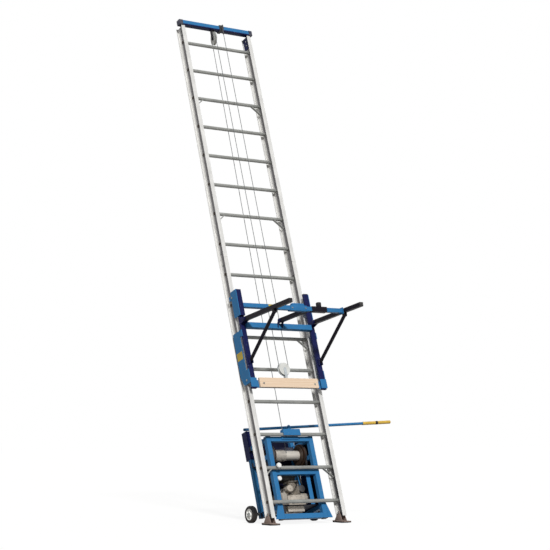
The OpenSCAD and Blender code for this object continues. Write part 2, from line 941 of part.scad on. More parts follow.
module drum_bearings() {
    color("dimgray") place() both_sides() difference() {
        translate([rear_in + (rear_post - bearing_w) / 2, drum_y, drum_z]) {
            rod_x(bearing_r, 0, bearing_w);
            translate([0, -bearing_base_w / 2, -bearing_up])
                cube([bearing_w, bearing_base_w, bearing_base_h]);
            translate([0, -bearing_r, -bearing_up]) cube([bearing_w, 2 * bearing_r, bearing_up]);
        }
        translate([0, drum_y, drum_z]) rod_x(shaft_r + fit, 0, frame_w);
    }
}

module brake_band() {
    inner = brake_r + band_gap;
    outer = inner + brake_band_t;
    x0 = brake_x - brake_w / 2 - brake_band_w / 2;
    color("dimgray") place() translate([0, drum_y, drum_z]) {
        difference() {
            ring_x(outer, inner, x0, x0 + brake_band_w);
            rotate([brake_turn, 0, 0])
                block([x0 - over, 0, 0], [x0 + brake_band_w + over, outer + over, brake_slot]);
        }
        difference() {
            block([-rear_in, -anchor_d / 2, -outer - anchor_deep],
                [x0 + brake_band_w, anchor_d / 2, -bearing_up - rear_post / 2]);
            rod_x(inner + brake_band_t / 2, x0 - 2 * over, frame_w);
        }
    }
}

module lever_bracket() {
    low = rear_z + rear_h;
    side = lever_r + gap;
    color("steelblue") place() translate([pivot_x, rear_y, 0]) {
        difference() {
            union() {
                block([-rear_post / 2, -side - pivot_ear_t, low],
                    [rear_post / 2, side + pivot_ear_t, low + pivot_base_t]);
                for (y = [-side - pivot_ear_t, side]) {
                    plate_xz(y, pivot_ear_t) translate([0, pivot_z]) circle(r = pivot_ear_r);
                    block([-pivot_ear_r, y, low], [pivot_ear_r, y + pivot_ear_t, pivot_z]);
                }
            }
            translate([0, 0, pivot_z]) rod_y(pivot_r + fit, -frame_w, frame_w);
        }
        translate([0, 0, pivot_z]) {
            rod_y(pivot_r, -side - pivot_ear_t, side + pivot_ear_t);
            rod_y(bolt_head_r, -side - pivot_ear_t - bolt_head_t, -side - pivot_ear_t);
            rod_y(bolt_head_r, side + pivot_ear_t, side + pivot_ear_t + bolt_head_t);
        }
    }
}

// Puts its child at the lever pivot, with the lever along x.
module at_lever() {
    place() translate([pivot_x, rear_y, pivot_z]) rotate([0, -lever_tilt, 0]) children();
}

module lever_tube() {
    color("steelblue") at_lever() difference() {
        rod_x(lever_r, -lever_left, lever_right);
        rod_x(lever_r - lever_wall, -lever_left - over, lever_right + over);
        rod_y(pivot_r + fit, -lever_d, lever_d);
    }
}

module lever_grip() {
    color("gold") at_lever() difference() {
        rod_x(lever_r + grip_t, lever_right - grip_len, lever_right + grip_t);
        rod_x(lever_r, lever_right - grip_len - over, lever_right);
    }
}

module spring_housing() {
    size = [rear_post, housing_y, housing_h];
    wall = [housing_wall, housing_wall, housing_wall];
    color("midnightblue") place() difference() {
        translate([-frame_w / 2, rear_front, housing_z]) cube(size);
        translate([-frame_w / 2, rear_front, housing_z] + wall) cube(size - 2 * wall);
        translate([-pivot_x, rear_y, housing_z + housing_h / 2])
            cylinder(r = spring_hole_r, h = housing_h);
    }
}

// Points of a ring of the tube about point p, across direction t, with side direction n.
function ring(p, t, n, r) = [for (i = [0 : tube_sides - 1]) let (a = i * 360 / tube_sides)
    p + r * (cos(a) * n + sin(a) * cross(t, n))];

function unit(v) = v / norm(v);

function tangent(path, i) = unit(path[min(i + 1, len(path) - 1)] - path[max(i - 1, 0)]);

// Side direction at point i, square to the path.
function side(path, i, n) = let (t = tangent(path, i)) unit(n - (n * t) * t);

// One unbroken tube along a path, with a side direction for each point.
module swept_tube(path, sides, r) {
    last = len(path) - 1;
    rings = [for (i = [0 : last]) each ring(path[i], tangent(path, i), side(path, i, sides[i]), r)];
    walls = [for (i = [0 : last - 1], j = [0 : tube_sides - 1])
        let (a = i * tube_sides, k = (j + 1) % tube_sides)
        each [[a + j, a + k, a + tube_sides + k], [a + j, a + tube_sides + k, a + tube_sides + j]]];
    first_cap = [for (j = [1 : tube_sides - 2]) [0, j + 1, j]];
    base = last * tube_sides;
    last_cap = [for (j = [1 : tube_sides - 2]) [base, base + j, base + j + 1]];
    polyhedron(points = rings, faces = concat(walls, first_cap, last_cap));
}

// Least distance between points of the path that lie at least half a loop apart.
function self_gap(path, apart, wide) = let (last = len(path) - 1)
    min([for (i = [0 : last - apart], j = [i + apart : last]) norm(path[i] - path[j])]) - wide;

function around(x, angle) = [x, wind_r * cos(angle), wind_r * sin(angle)];

function outward(angle) = [0, cos(angle), sin(angle)];

module drum_cable() {
    color("lightgray") place() translate([0, drum_y, drum_z]) swept_tube(wind_path, wind_sides, cable_r);
}

module return_spring() {
    color("dimgray") place() translate([-pivot_x, rear_y, 0])
        swept_tube(spring_path, spring_sides, spring_wire_r);
}

module wheel_axle() {
    inner = wheel_track / 2 - wheel_w / 2 - air;
    outer = wheel_track / 2 + wheel_w / 2 + air;
    color("dimgray") place() translate([0, rear_y, wheel_z]) {
        rod_x(axle_r, -outer, outer);
        both_sides() {
            rod_x(collar_r, frame_w / 2, inner);
            rod_x(collar_r, outer, outer + washer_t);
        }
    }
}

// Wheel on the right side: a solid tyre round a dished hub.
module wheel() {
    tyre_in = wheel_d / 2 - tyre_t;
    place() translate([wheel_track / 2 - wheel_w / 2, rear_y, wheel_z]) {
        color("black") ring_x(wheel_d / 2, tyre_in, 0, wheel_w);
        color("white") difference() {
            union() {
                rod_x(hub_boss_r, 0, wheel_w);
                rod_x(tyre_in, (wheel_w - hub_disc_w) / 2, (wheel_w + hub_disc_w) / 2);
            }
            rod_x(axle_r + fit, -over, wheel_w + over);
        }
    }
}

module right_wheel() {
    wheel();
}

module left_wheel() {
    mirror([1, 0, 0]) wheel();
}

// Swivelling foot on the right side, level on the ground: rubber pad, sole plate and two cheeks.
module foot() {
    low = pad_t + sole_t;
    translate([half, foot_back, 0]) {
        color("black") difference() {
            block([-pad_w / 2, -pad_ahead, 0], [pad_w / 2, pad_behind, pad_t]);
            translate([0, -foot_back, -over]) cylinder(r = peg_r, h = pad_t + 2 * over);
        }
        color("rosybrown") difference() {
            union() {
                block([-pad_w / 2, -pad_ahead, pad_t], [pad_w / 2, pad_behind, low]);
                for (x = [-foot_cheek - foot_cheek_t, foot_cheek]) plate_yz(x, foot_cheek_t) {
                    polygon([[-cheek_foot, low], [cheek_foot, low],
                        [cheek_top, foot_h], [-cheek_top, foot_h]]);
                    translate([0, foot_h]) circle(r = cheek_top);
                }
            }
            translate([0, 0, foot_h]) rod_x(foot_bolt_r + fit, -pad_w, pad_w);
            translate([0, -foot_back, -over]) cylinder(r = peg_r, h = foot_h);
        }
    }
}

module right_foot() {
    foot();
}

module left_foot() {
    mirror([1, 0, 0]) foot();
}

module carriage_posts() {
    color("midnightblue") place() both_sides() translate([half, post_y, carriage_z])
        linear_extrude(post_len) difference() {
            soft_square(post_w, post_d, tube_wall);
            square([post_w - 2 * tube_wall, post_d - 2 * tube_wall], center = true);
        }
}

// Square cross tube between the posts with closed ends.
module cross_tube(w, z) {
    translate([0, tube_y, z]) {
        bar_x(w, tube_wall, -post_in, post_in);
        both_sides() translate([post_in - tube_wall, 0, 0]) rotate([0, 90, 0]) linear_extrude(tube_wall)
            square(w - 2 * tube_wall, center = true);
    }
}

module carriage_tubes() {
    color("steelblue") place() {
        cross_tube(low_tube_w, low_tube_z);
        cross_tube(high_tube_w, high_tube_z);
        difference() {
            block([-post_in, post_back - tie_t, carriage_z + tie_up],
                [post_in, post_back, carriage_z + tie_up + tie_h]);
            board_bolt_places() rod_y(bolt_r + fit, tube_front, 0);
        }
        both_sides() block([post_in - foot_plate_side, post_front - plate_t, carriage_z + tie_up],
            [post_out + foot_plate_side, post_front, carriage_z + tie_up + foot_plate_h]);
    }
}

// Puts its child on the axis of each board bolt.
module board_bolt_places() {
    for (s = [-1, 1])
        translate([s * (board_len / 2 - board_bolt_in), 0, carriage_z + tie_up + tie_h / 2]) children();
}

module bumper_board() {
    front = post_back - tie_t - board_t;
    color("burlywood") place() difference() {
        block([-board_len / 2, front, carriage_z + tie_up],
            [board_len / 2, post_back - tie_t, carriage_z + tie_up + board_h]);
        board_bolt_places() rod_y(bolt_r + fit, tube_front, 0);
    }
}

// Outline of an upper side plate, with the tab that carries the glide shoe.
module upper_plate_outline() {
    back = roller_y + plate_edge;
    shoe_back = flange_t + air - rail_depth / 2 + shoe_d;
    translate([post_front, post_len - upper_plate_h]) square([back - post_front, upper_plate_h]);
    translate([post_front, roller_up[1] - shoe_h / 2]) square([shoe_back - post_front, shoe_h]);
}

// Outline of a lower side plate: open to the front at its middle, sloped at its lower back corner.
module lower_plate_outline() {
    top = lower_plate_up + lower_plate_h;
    notch_y = post_front + notch_d;
    polygon([[post_front, lower_plate_up], [lower_plate_back - lower_plate_nose, lower_plate_up],
        [lower_plate_back, lower_plate_up + lower_plate_slope], [lower_plate_back, top], [post_front, top],
        [post_front, notch_up + notch_h], [notch_y, notch_up + notch_h], [notch_y, notch_up],
        [post_front, notch_up]]);
}

// Folded cover in front of the upper end of the left post, open at its back and below.
module post_cover() {
    low = carriage_z + post_len - upper_plate_h;
    top = carriage_z + post_len;
    mirror([1, 0, 0]) difference() {
        block([post_in, tube_front, low], [post_out + plate_t, post_front, top]);
        block([post_in + plate_t, tube_front + plate_t, low - over],
            [post_out, post_front + over, top - plate_t]);
    }
}

module roller_plates() {
    color("steelblue") place() {
        both_sides() difference() {
            translate([0, 0, carriage_z]) plate_yz(post_out, plate_t) {
                upper_plate_outline();
                lower_plate_outline();
            }
            for (up = roller_up)
                translate([0, roller_y, carriage_z + up]) rod_x(stud_r + fit, 0, half + post_w + plate_t);
        }
        post_cover();
    }
}

// Stud of one roller on the right side.
module roller_stud() {
    rod_x(stud_r, half - roller_w / 2 - air, post_out + plate_t);
    rod_x(stud_shoulder_r, half + roller_w / 2 + air, post_out);
    rod_x(stud_shoulder_r, half - roller_w / 2 - air - stud_washer_t, half - roller_w / 2 - air);
    rod_x(bolt_head_r, post_out + plate_t, post_out + plate_t + bolt_head_t);
}

module carriage_bolts() {
    board_front = post_back - tie_t - board_t;
    color("dimgray") place() {
        for (up = roller_up) translate([0, roller_y, carriage_z + up]) both_sides() roller_stud();
        board_bolt_places() {
            rod_y(bolt_r, board_front, post_back);
            rod_y(bolt_head_r, board_front - bolt_head_t, board_front);
            rod_y(bolt_head_r, post_back, post_back + bolt_head_t);
        }
    }
}

// Pair of coaxial front rollers at height up on the posts.
module roller_pair(up) {
    color("whitesmoke") place() translate([0, roller_y, carriage_z + up]) both_sides()
        ring_x(roller_d / 2, stud_r + fit, half - roller_w / 2, half + roller_w / 2);
}

module lower_rollers() {
    roller_pair(roller_up[0]);
}

module upper_rollers() {
    roller_pair(roller_up[1]);
}

module glide_shoes() {
    front = flange_t + air - rail_depth / 2;
    color("whitesmoke") place() for (up = roller_up) both_sides()
        block([half + shoe_x, front, carriage_z + up - shoe_h / 2],
            [post_out, front + shoe_d, carriage_z + up + shoe_h / 2]);
}

module sheave_bracket() {
    low = tie_up + tie_h - car_up;
    front = car_w / 2 + car_gap;
    color("midnightblue") place() translate([0, -fall_front, car_z]) {
        difference() {
            union() {
                plate_xz(front, cheek_t) {
                    circle(r = car_r + car_rim + cheek_t);
                    translate([-car_strap_w / 2, low]) square([car_strap_w, -low]);
                }
                plate_xz(-front - cheek_t, cheek_t) {
                    circle(d = car_strap_w);
                    translate([-car_strap_w / 2, low]) square([car_strap_w, -low]);
                }
                block([-car_strap_w / 2, -front - cheek_t, low],
                    [car_strap_w / 2, front + cheek_t, low + car_foot_t]);
            }
            rod_y(sheave_pin_r + fit, -post_w, post_w);
        }
        rod_y(sheave_pin_r, -front - cheek_t, front + cheek_t);
        rod_y(sheave_pin_r + cheek_t, front + cheek_t, front + cheek_t + bolt_head_t);
    }
}

module carriage_sheave() {
    color("white") place() translate([0, -fall_front, car_z]) rotate([90, 0, 0])
        sheave(car_r, car_w, car_rim, sheave_pin_r + fit);
}

// Outline of a hinge ear standing on a front face between heights low and high.
module ear_outline(front, low, high) {
    polygon([[front, low], [front, high],
        [hinge_y, hinge_z + ear_r], [hinge_y, hinge_z - ear_r]]);
    translate([hinge_y, hinge_z]) circle(r = ear_r);
}

// Two ears and a pin about x for an arm at the given place.
module arm_lug(x, front, low, high) {
    side = arm_w / 2 + gap;
    translate([x, 0, 0]) {
        difference() {
            for (x0 = [-side - lug_t, side]) plate_yz(x0, lug_t) ear_outline(front, low, high);
            translate([0, hinge_y, hinge_z]) rod_x(hinge_r + fit, -post_w, post_w);
        }
        translate([0, hinge_y, hinge_z]) {
            rod_x(hinge_r, -side - lug_t, side + lug_t);
            rod_x(hinge_r + cheek_t, -side - lug_t - cheek_t, -side - lug_t);
            rod_x(hinge_r + cheek_t, side + lug_t, side + lug_t + cheek_t);
        }
    }
}

module arm_lugs() {
    reach = low_tube_w / 2 - tube_wall;
    color("midnightblue") place() {
        for (s = [-1, 1]) arm_lug(s * half, post_front, hinge_z - lug_low, hinge_z + lug_high);
        arm_lug(0, tube_front, low_tube_z - reach, low_tube_z + reach);
    }
}

// Puts its child at the arm hinge, with the arm along -y.
module at_hinge() {
    place() translate([0, hinge_y, hinge_z]) rotate([arm_drop, 0, 0]) children();
}

module side_arms() {
    ear_in = brace_d / 2 + gap;
    color("black") at_hinge() for (s = [-1, 1]) translate([s * half, 0, 0]) {
        difference() {
            union() {
                bar_y(arm_w, tube_wall, -arm_len, arm_tail);
                translate([0, -arm_len, 0]) rotate([-90, 0, 0]) linear_extrude(tube_wall)
                    square(arm_w - 2 * tube_wall, center = true);
            }
            rod_x(hinge_r + fit, -arm_w, arm_w);
        }
        for (x0 = [-ear_in - brace_ear_t, ear_in]) plate_yz(x0, brace_ear_t) {
            translate([-brace_at, -brace_below]) circle(r = brace_ear_r);
            translate([-brace_at - brace_ear_r, -brace_below])
                square([2 * brace_ear_r, brace_below - arm_w / 2]);
        }
        translate([0, -brace_at, -brace_below]) rod_x(brace_pin_r, -ear_in, ear_in);
    }
}

module center_arm() {
    color("black") at_hinge() difference() {
        bar_y(arm_w, tube_wall, -cross_at + arm_w / 2, arm_tail);
        rod_x(hinge_r + fit, -arm_w, arm_w);
    }
}

module platform_tube() {
    out = half - arm_w / 2;
    color("steelblue") at_hinge() translate([0, -cross_at, 0]) {
        bar_x(arm_w, tube_wall, -out + plate_t, out - plate_t);
        both_sides() translate([out - plate_t, 0, 0]) rotate([0, 90, 0]) linear_extrude(plate_t)
            square(flange_plate_w, center = true);
    }
}

module load_cleat() {
    color("black") at_hinge() translate([cleat_x, -cross_at, 0]) {
        translate([-cleat_w / 2, 0, 0]) rotate([0, 90, 0]) linear_extrude(cleat_w) difference() {
            square(arm_w + 2 * cleat_t, center = true);
            soft_square(arm_w, arm_w, tube_wall);
        }
        translate([cleat_knob_x, 0, arm_w / 2 + cleat_t]) cylinder(r = cleat_knob_r, h = cleat_knob_h);
    }
}

module braces() {
    color("black") place() for (s = [-1, 1]) translate([s * half, brace_top_y, brace_top_z])
        rotate([brace_angle, 0, 0]) difference() {
            rod_y(brace_d / 2, -brace_tail, brace_len);
            rod_y(brace_d / 2 - brace_wall, -brace_tail - over, brace_len + over);
            rod_x(brace_pin_r + fit, -brace_d, brace_d);
            translate([0, brace_len, 0]) rod_x(brace_pin_r + air, -brace_d, brace_d);
        }
}

module brace_seats() {
    ear_in = brace_d / 2 + gap;
    reach = seat_ahead + brace_pin_r + brace_ear_t;
    color("midnightblue") place() for (s = [-1, 1]) translate([s * half, post_front, seat_z]) {
        for (x0 = [-ear_in - brace_ear_t, ear_in])
            plate_yz(x0, brace_ear_t) translate([-reach, -reach]) square([reach, 2 * reach]);
        translate([0, -seat_ahead, 0]) rod_x(brace_pin_r, -ear_in, ear_in);
    }
}

lower_rails();
upper_rails();
rungs();
knee_braces();
rail_splices();
ladder_bolts();
head_crossbar();
crossbar_caps();
head_brackets();
head_block();
cable_anchor();
cable_return();
cable_falls();
frame_posts();
frame_rails();
rung_hook();
unit_panels();
engine_crankcase();
engine_cylinder();
blower_housing();
fuel_tank();
muffler();
air_cleaner();
reduction_gearbox();
drive_belt();
drum_bearings();
brake_band();
lever_bracket();
spring_housing();
return_spring();
wheel_axle();
carriage_posts();
carriage_tubes();
roller_plates();
carriage_bolts();
glide_shoes();
bumper_board();
sheave_bracket();
arm_lugs();
brace_seats();
cable_bight();
upper_rollers();
lower_rollers();
side_arms();
center_arm();
platform_tube();
load_cleat();
braces();
lever_tube();
lever_grip();
drum();
drum_pulley();
drum_cable();
engine_pulley();
head_sheave();
carriage_sheave();
left_wheel();
right_wheel();
left_foot();
right_foot();
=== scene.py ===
"""Dresses a ladder platform hoist: finishes, wire ropes, wheels, feet, engine fittings and studio."""

import logging
import math
from collections.abc import Iterable
from dataclasses import dataclass
from enum import Enum
from itertools import product

import bmesh
import bpy
from mathutils import Matrix, Vector


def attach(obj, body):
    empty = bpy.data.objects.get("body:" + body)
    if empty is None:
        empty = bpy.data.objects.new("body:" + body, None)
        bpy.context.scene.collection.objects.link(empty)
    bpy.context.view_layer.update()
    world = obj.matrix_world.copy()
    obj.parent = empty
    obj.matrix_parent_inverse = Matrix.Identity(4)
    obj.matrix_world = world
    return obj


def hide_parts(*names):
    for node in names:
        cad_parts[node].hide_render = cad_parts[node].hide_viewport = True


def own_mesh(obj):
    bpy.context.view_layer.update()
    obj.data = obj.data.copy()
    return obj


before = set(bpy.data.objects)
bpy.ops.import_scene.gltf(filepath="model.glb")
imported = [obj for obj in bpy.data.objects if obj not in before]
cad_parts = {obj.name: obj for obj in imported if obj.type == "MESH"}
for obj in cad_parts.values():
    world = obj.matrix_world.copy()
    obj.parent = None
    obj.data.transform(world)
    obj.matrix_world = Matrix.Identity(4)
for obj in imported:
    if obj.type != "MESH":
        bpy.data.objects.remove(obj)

LOG = logging.getLogger("hoist")
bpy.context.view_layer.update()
MM = 0.001
# Least angle between two faces that leaves a sharp edge.
SHARP = math.radians(38)
LEAN = math.radians(18.7)
# Ladder frame: x to the right, y to the back, z up along the rails, from the middle of the foot pivots.
LADDER = Matrix.Translation((0.0, 0.085, 0.085)) @ Matrix.Rotation(-LEAN, 4, "X")
LEVEL = Matrix.Identity(4)
SIDES = (-1, 1)
Point = tuple[float, float, float]
Place = Point | Vector
Colour = tuple[float, float, float, float]
Profile = tuple[tuple[float, float], ...]
Boxes = tuple[tuple[Point, Point, float], ...]
Socket = bpy.types.NodeSocket
RIGHT: Point = (1.0, 0.0, 0.0)
LEFT: Point = (-1.0, 0.0, 0.0)
BACK: Point = (0.0, 1.0, 0.0)
FRONT: Point = (0.0, -1.0, 0.0)
UP: Point = (0.0, 0.0, 1.0)
WHITE: Colour = (1.0, 1.0, 1.0, 1.0)


def linear(code: str, share: float = 1.0) -> Colour:
    """Turns an sRGB hex colour to linear light.

    Args:
        code: Colour as #rrggbb.
        share: How bright it is against the colour as written.

    Returns:
        Red, green, blue and full alpha.
    """
    parts = [int(code[i:i + 2], 16) / 255 for i in (1, 3, 5)]
    light = (c / 12.92 if c <= 0.04045 else ((c + 0.055) / 1.055) ** 2.4 for c in parts)
    red, green, blue = (min(1.0, c * share) for c in light)
    return red, green, blue, 1.0


def feed(node: bpy.types.Node, inputs: dict[str | int, object]) -> None:
    """Sets a node's inputs.

    Args:
        node: The node.
        inputs: Socket name or number to a constant, or to the socket that feeds it.
    """
    for key, value in inputs.items():
        if isinstance(value, Socket):
            node.id_data.links.new(value, node.inputs[key])
        else:
            node.inputs[key].default_value = value


def add_node(
    tree: bpy.types.NodeTree, kind: str, inputs: dict[str | int, object] | None = None, **settings: object
) -> bpy.types.Node:
    """Adds one shader node with its settings and links.

    Args:
        tree: Tree that takes the node.
        kind: Type name of the node.
        inputs: Socket name or number to a constant, or to the socket that feeds it.
        **settings: Properties of the node.

    Returns:
        The new node.
    """
    node = tree.nodes.new(kind)
    for name, value in settings.items():
        setattr(node, name, value)
    feed(node, inputs or {})
    return node


class Axis(Enum):
    """One axis of the ladder frame."""

    X = 0
    Y = 1
    Z = 2


class Grain(Enum):
    """How far a surface's marks are drawn out along the ladder frame's three axes."""

    EVEN = (1.0, 1.0, 1.0)
    ALONG_X = (40.0, 1.0, 1.0)
    ALONG_BOARD = (34.0, 1.0, 1.0)
    ALONG_RAIL = (1.0, 1.0, 60.0)


@dataclass(frozen=True)
class Stretch:
    """A second colour on part of a finish: between two places along one axis of the ladder frame."""

    colour: str
    axis: Axis
    low_mm: float
    high_mm: float
    soft_mm: float = 1.0
    crisp_mm: float = 0.5

    def over(self, tree: bpy.types.NodeTree, place: Socket, rest: Socket) -> Socket:
        """Gives the stretch its colour.

        Args:
            tree: Tree of the material.
            place: Place on the object.
            rest: Colour of the rest.

        Returns:
            The colour of the whole part.
        """
        here = add_node(
            tree, "ShaderNodeMapping",
            {"Vector": place, "Location": LADDER.translation[:], "Rotation": (-LEAN, 0.0, 0.0)},
            vector_type="TEXTURE")
        parts = add_node(tree, "ShaderNodeSeparateXYZ", {"Vector": here.outputs["Vector"]})
        ends = ((self.low_mm - self.crisp_mm, self.low_mm), (self.high_mm + self.soft_mm, self.high_mm))
        after, before = (
            add_node(
                tree, "ShaderNodeMapRange",
                {"Value": parts.outputs[self.axis.name], "From Min": none * MM, "From Max": full * MM})
            for none, full in ends)
        inside = add_node(
            tree, "ShaderNodeMath", {0: after.outputs["Result"], 1: before.outputs["Result"]},
            operation="MULTIPLY")
        return add_node(
            tree, "ShaderNodeMix", {0: inside.outputs["Value"], 6: rest, 7: linear(self.colour)},
            data_type="RGBA").outputs[2]


@dataclass(frozen=True)
class Finish:
    """What every finish has: its name, the record's slot, its colour, its gloss and its relief."""

    name: str
    slot: str
    colour: str
    roughness: float
    swing: tuple[float, float] = (-0.08, 0.1)
    relief: float = 0.15
    depth_mm: float = 0.4
    metallic: float = 0.0
    specular: float = 0.5

    def material(self) -> bpy.types.Material:
        """Makes the finish's material on its first use.

        Returns:
            The material.
        """
        found = bpy.data.materials.get(self.name)
        if found:
            return found
        made = bpy.data.materials.new(self.name)
        made.use_nodes = True
        made.diffuse_color = linear(self.colour)
        tree = made.node_tree
        tree.nodes.clear()
        shader = add_node(
            tree, "ShaderNodeBsdfPrincipled",
            {"Roughness": self.roughness, "Metallic": self.metallic, "Specular IOR Level": self.specular})
        add_node(tree, "ShaderNodeOutputMaterial", {"Surface": shader.outputs["BSDF"]})
        self.dress(tree, shader)
        return made

    def dress(self, tree: bpy.types.NodeTree, shader: bpy.types.Node) -> None:
        """Adds the finish's own pattern to the shader."""
        raise NotImplementedError

    def join(self, shader: bpy.types.Node, colour: Socket, height: Socket, cloud: Socket | None = None) -> None:
        """Joins a pattern to the shader.

        Args:
            shader: Shader of the material.
            colour: Colour of the surface.
            height: Relief of the surface.
            cloud: Pattern that the gloss swings with, or none for an even gloss.
        """
        tree = shader.id_data
        bump = add_node(
            tree, "ShaderNodeBump", {"Strength": self.relief, "Distance": self.depth_mm * MM, "Height": height})
        feed(shader, {"Base Color": colour, "Normal": bump.outputs["Normal"]})
        if cloud is not None:
            least, most = (self.roughness + change for change in self.swing)
            rough = add_node(tree, "ShaderNodeMapRange", {"Value": cloud, "To Min": least, "To Max": most})
            feed(shader, {"Roughness": rough.outputs["Result"]})


@dataclass(frozen=True)
class Enamel(Finish):
    """Sprayed enamel on steel: even colour that dulls in patches, a fine orange peel, sparse chips."""

    swing: tuple[float, float] = (-0.08, 0.12)
    relief: float = 0.12
    specular: float = 0.1
    bare: str = "#8d9196"
    chips: float = 0.69
    chip_edge: float = 0.03
    fade: float = 0.16
    patch_mm: float = 140.0
    chip_mm: float = 9.0
    # Orange peel is about 1 mm wide in life, and is drawn coarser so that it shows.
    peel_mm: float = 2.5
    stretch: Stretch | None = None

    def dress(self, tree: bpy.types.NodeTree, shader: bpy.types.Node) -> None:
        """Fades the colour in patches, chips it to the metal and gives it orange peel.

        Args:
            tree: Tree of the material.
            shader: Shader that the pattern feeds.
        """
        place = add_node(tree, "ShaderNodeTexCoord").outputs["Object"]
        patch, chip, peel = (
            add_node(tree, "ShaderNodeTexNoise", {"Vector": place, "Scale": 1 / (size * MM), "Detail": detail})
            for size, detail in ((self.patch_mm, 5.0), (self.chip_mm, 3.0), (self.peel_mm, 2.0)))
        dull, bright = (linear(self.colour, 1 + change) for change in (-self.fade, self.fade))
        coat = add_node(
            tree, "ShaderNodeMix", {0: patch.outputs["Fac"], 6: dull, 7: bright}, data_type="RGBA").outputs[2]
        if self.stretch:
            coat = self.stretch.over(tree, place, coat)
        mask = add_node(
            tree, "ShaderNodeMapRange",
            {"Value": chip.outputs["Fac"], "From Min": self.chips, "From Max": self.chips + self.chip_edge})
        colour = add_node(
            tree, "ShaderNodeMix", {0: mask.outputs["Result"], 6: coat, 7: linear(self.bare)},
            data_type="RGBA")
        self.join(shader, colour.outputs[2], peel.outputs["Fac"], patch.outputs["Fac"])


@dataclass(frozen=True)
class Metal(Finish):
    """Bare metal: drawn or rolled marks along its grain, cloudy oxide, and smears that change its gloss."""

    swing: tuple[float, float] = (-0.1, 0.1)
    relief: float = 0.08
    depth_mm: float = 0.3
    metallic: float = 1.0
    grain: Grain = Grain.EVEN
    # Drawing marks are well under 1 mm wide in life, and are drawn coarser so that they show.
    streak_mm: float = 4.0
    cloud_mm: float = 90.0
    contrast: float = 0.14
    spread: tuple[float, float] = (0.1, 0.42)
    stretch: Stretch | None = None

    def dress(self, tree: bpy.types.NodeTree, shader: bpy.types.Node) -> None:
        """Draws the streaks along the grain and clouds them with oxide.

        Args:
            tree: Tree of the material.
            shader: Shader that the pattern feeds.
        """
        place = add_node(tree, "ShaderNodeTexCoord").outputs["Object"]
        drawn = add_node(
            tree, "ShaderNodeMapping",
            {"Vector": place, "Rotation": (-LEAN, 0.0, 0.0), "Scale": self.grain.value}, vector_type="TEXTURE")
        streak, cloud = (
            add_node(tree, "ShaderNodeTexNoise", {"Vector": where, "Scale": 1 / (size * MM), "Detail": detail})
            for where, size, detail in (
                (drawn.outputs["Vector"], self.streak_mm, 4.0), (place, self.cloud_mm, 6.0)))
        both = add_node(
            tree, "ShaderNodeMath", {0: streak.outputs["Fac"], 1: cloud.outputs["Fac"]}, operation="MULTIPLY")
        least, most = self.spread
        tone = add_node(
            tree, "ShaderNodeMapRange", {"Value": both.outputs["Value"], "From Min": least, "From Max": most})
        dull, bright = (linear(self.colour, 1 + change) for change in (-2 * self.contrast, self.contrast))
        colour = add_node(
            tree, "ShaderNodeMix", {0: tone.outputs["Result"], 6: dull, 7: bright}, data_type="RGBA").outputs[2]
        if self.stretch:
            colour = self.stretch.over(tree, place, colour)
        self.join(shader, colour, streak.outputs["Fac"], cloud.outputs["Fac"])


@dataclass(frozen=True)
class Moulding(Finish):
    """Moulded plastic, rubber or a casting: an even skin with a fine texture and dust in patches."""

    specular: float = 0.25
    dust: str = "#8a8680"
    dust_share: float = 0.15
    dusty: tuple[float, float] = (0.4, 0.75)
    patch_mm: float = 60.0
    # The grain of a moulded skin is finer in life, and is drawn coarser so that it shows.
    skin_mm: float = 1.6

    def dress(self, tree: bpy.types.NodeTree, shader: bpy.types.Node) -> None:
        """Dusts the skin in patches and gives it a fine texture.

        Args:
            tree: Tree of the material.
            shader: Shader that the pattern feeds.
        """
        place = add_node(tree, "ShaderNodeTexCoord").outputs["Object"]
        patch, skin = (
            add_node(tree, "ShaderNodeTexNoise", {"Vector": place, "Scale": 1 / (size * MM), "Detail": detail})
            for size, detail in ((self.patch_mm, 6.0), (self.skin_mm, 2.0)))
        least, most = self.dusty
        share = add_node(
            tree, "ShaderNodeMapRange",
            {"Value": patch.outputs["Fac"], "From Min": least, "From Max": most, "To Max": 2 * self.dust_share})
        colour = add_node(
            tree, "ShaderNodeMix",
            {0: share.outputs["Result"], 6: linear(self.colour), 7: linear(self.dust)}, data_type="RGBA")
        self.join(shader, colour.outputs[2], skin.outputs["Fac"], patch.outputs["Fac"])


@dataclass(frozen=True)
class Timber(Finish):
    """Planed softwood: growth lines drawn out along the board, with darker late wood and a dry matt face."""

    relief: float = 0.25
    depth_mm: float = 0.5
    late: str = "#b98a5a"
    line_mm: float = 7.0
    # Fibres are finer in life, and are drawn coarser so that they show.
    fibre_mm: float = 10 / 9
    grain: Grain = Grain.ALONG_BOARD

    def dress(self, tree: bpy.types.NodeTree, shader: bpy.types.Node) -> None:
        """Draws the growth lines along the board and lets them stand a little proud.

        Args:
            tree: Tree of the material.
            shader: Shader that the pattern feeds.
        """
        place = add_node(tree, "ShaderNodeTexCoord").outputs["Object"]
        drawn = add_node(
            tree, "ShaderNodeMapping",
            {"Vector": place, "Rotation": (-LEAN, 0.0, 0.0), "Scale": self.grain.value},
            vector_type="TEXTURE").outputs["Vector"]
        bands = add_node(
            tree, "ShaderNodeTexWave",
            {"Vector": drawn, "Scale": 1 / (self.line_mm * MM) / 6.283, "Distortion": 9.0, "Detail": 3.0,
             "Detail Scale": 0.6}, wave_type="BANDS", bands_direction="Z")
        fibre = add_node(
            tree, "ShaderNodeTexNoise", {"Vector": drawn, "Scale": 1 / (self.fibre_mm * MM), "Detail": 3.0})
        tone = add_node(
            tree, "ShaderNodeMath", {0: bands.outputs["Fac"], 1: fibre.outputs["Fac"]}, operation="MULTIPLY")
        colour = add_node(
            tree, "ShaderNodeMix",
            {0: tone.outputs["Value"], 6: linear(self.colour), 7: linear(self.late)}, data_type="RGBA")
        self.join(shader, colour.outputs[2], tone.outputs["Value"])


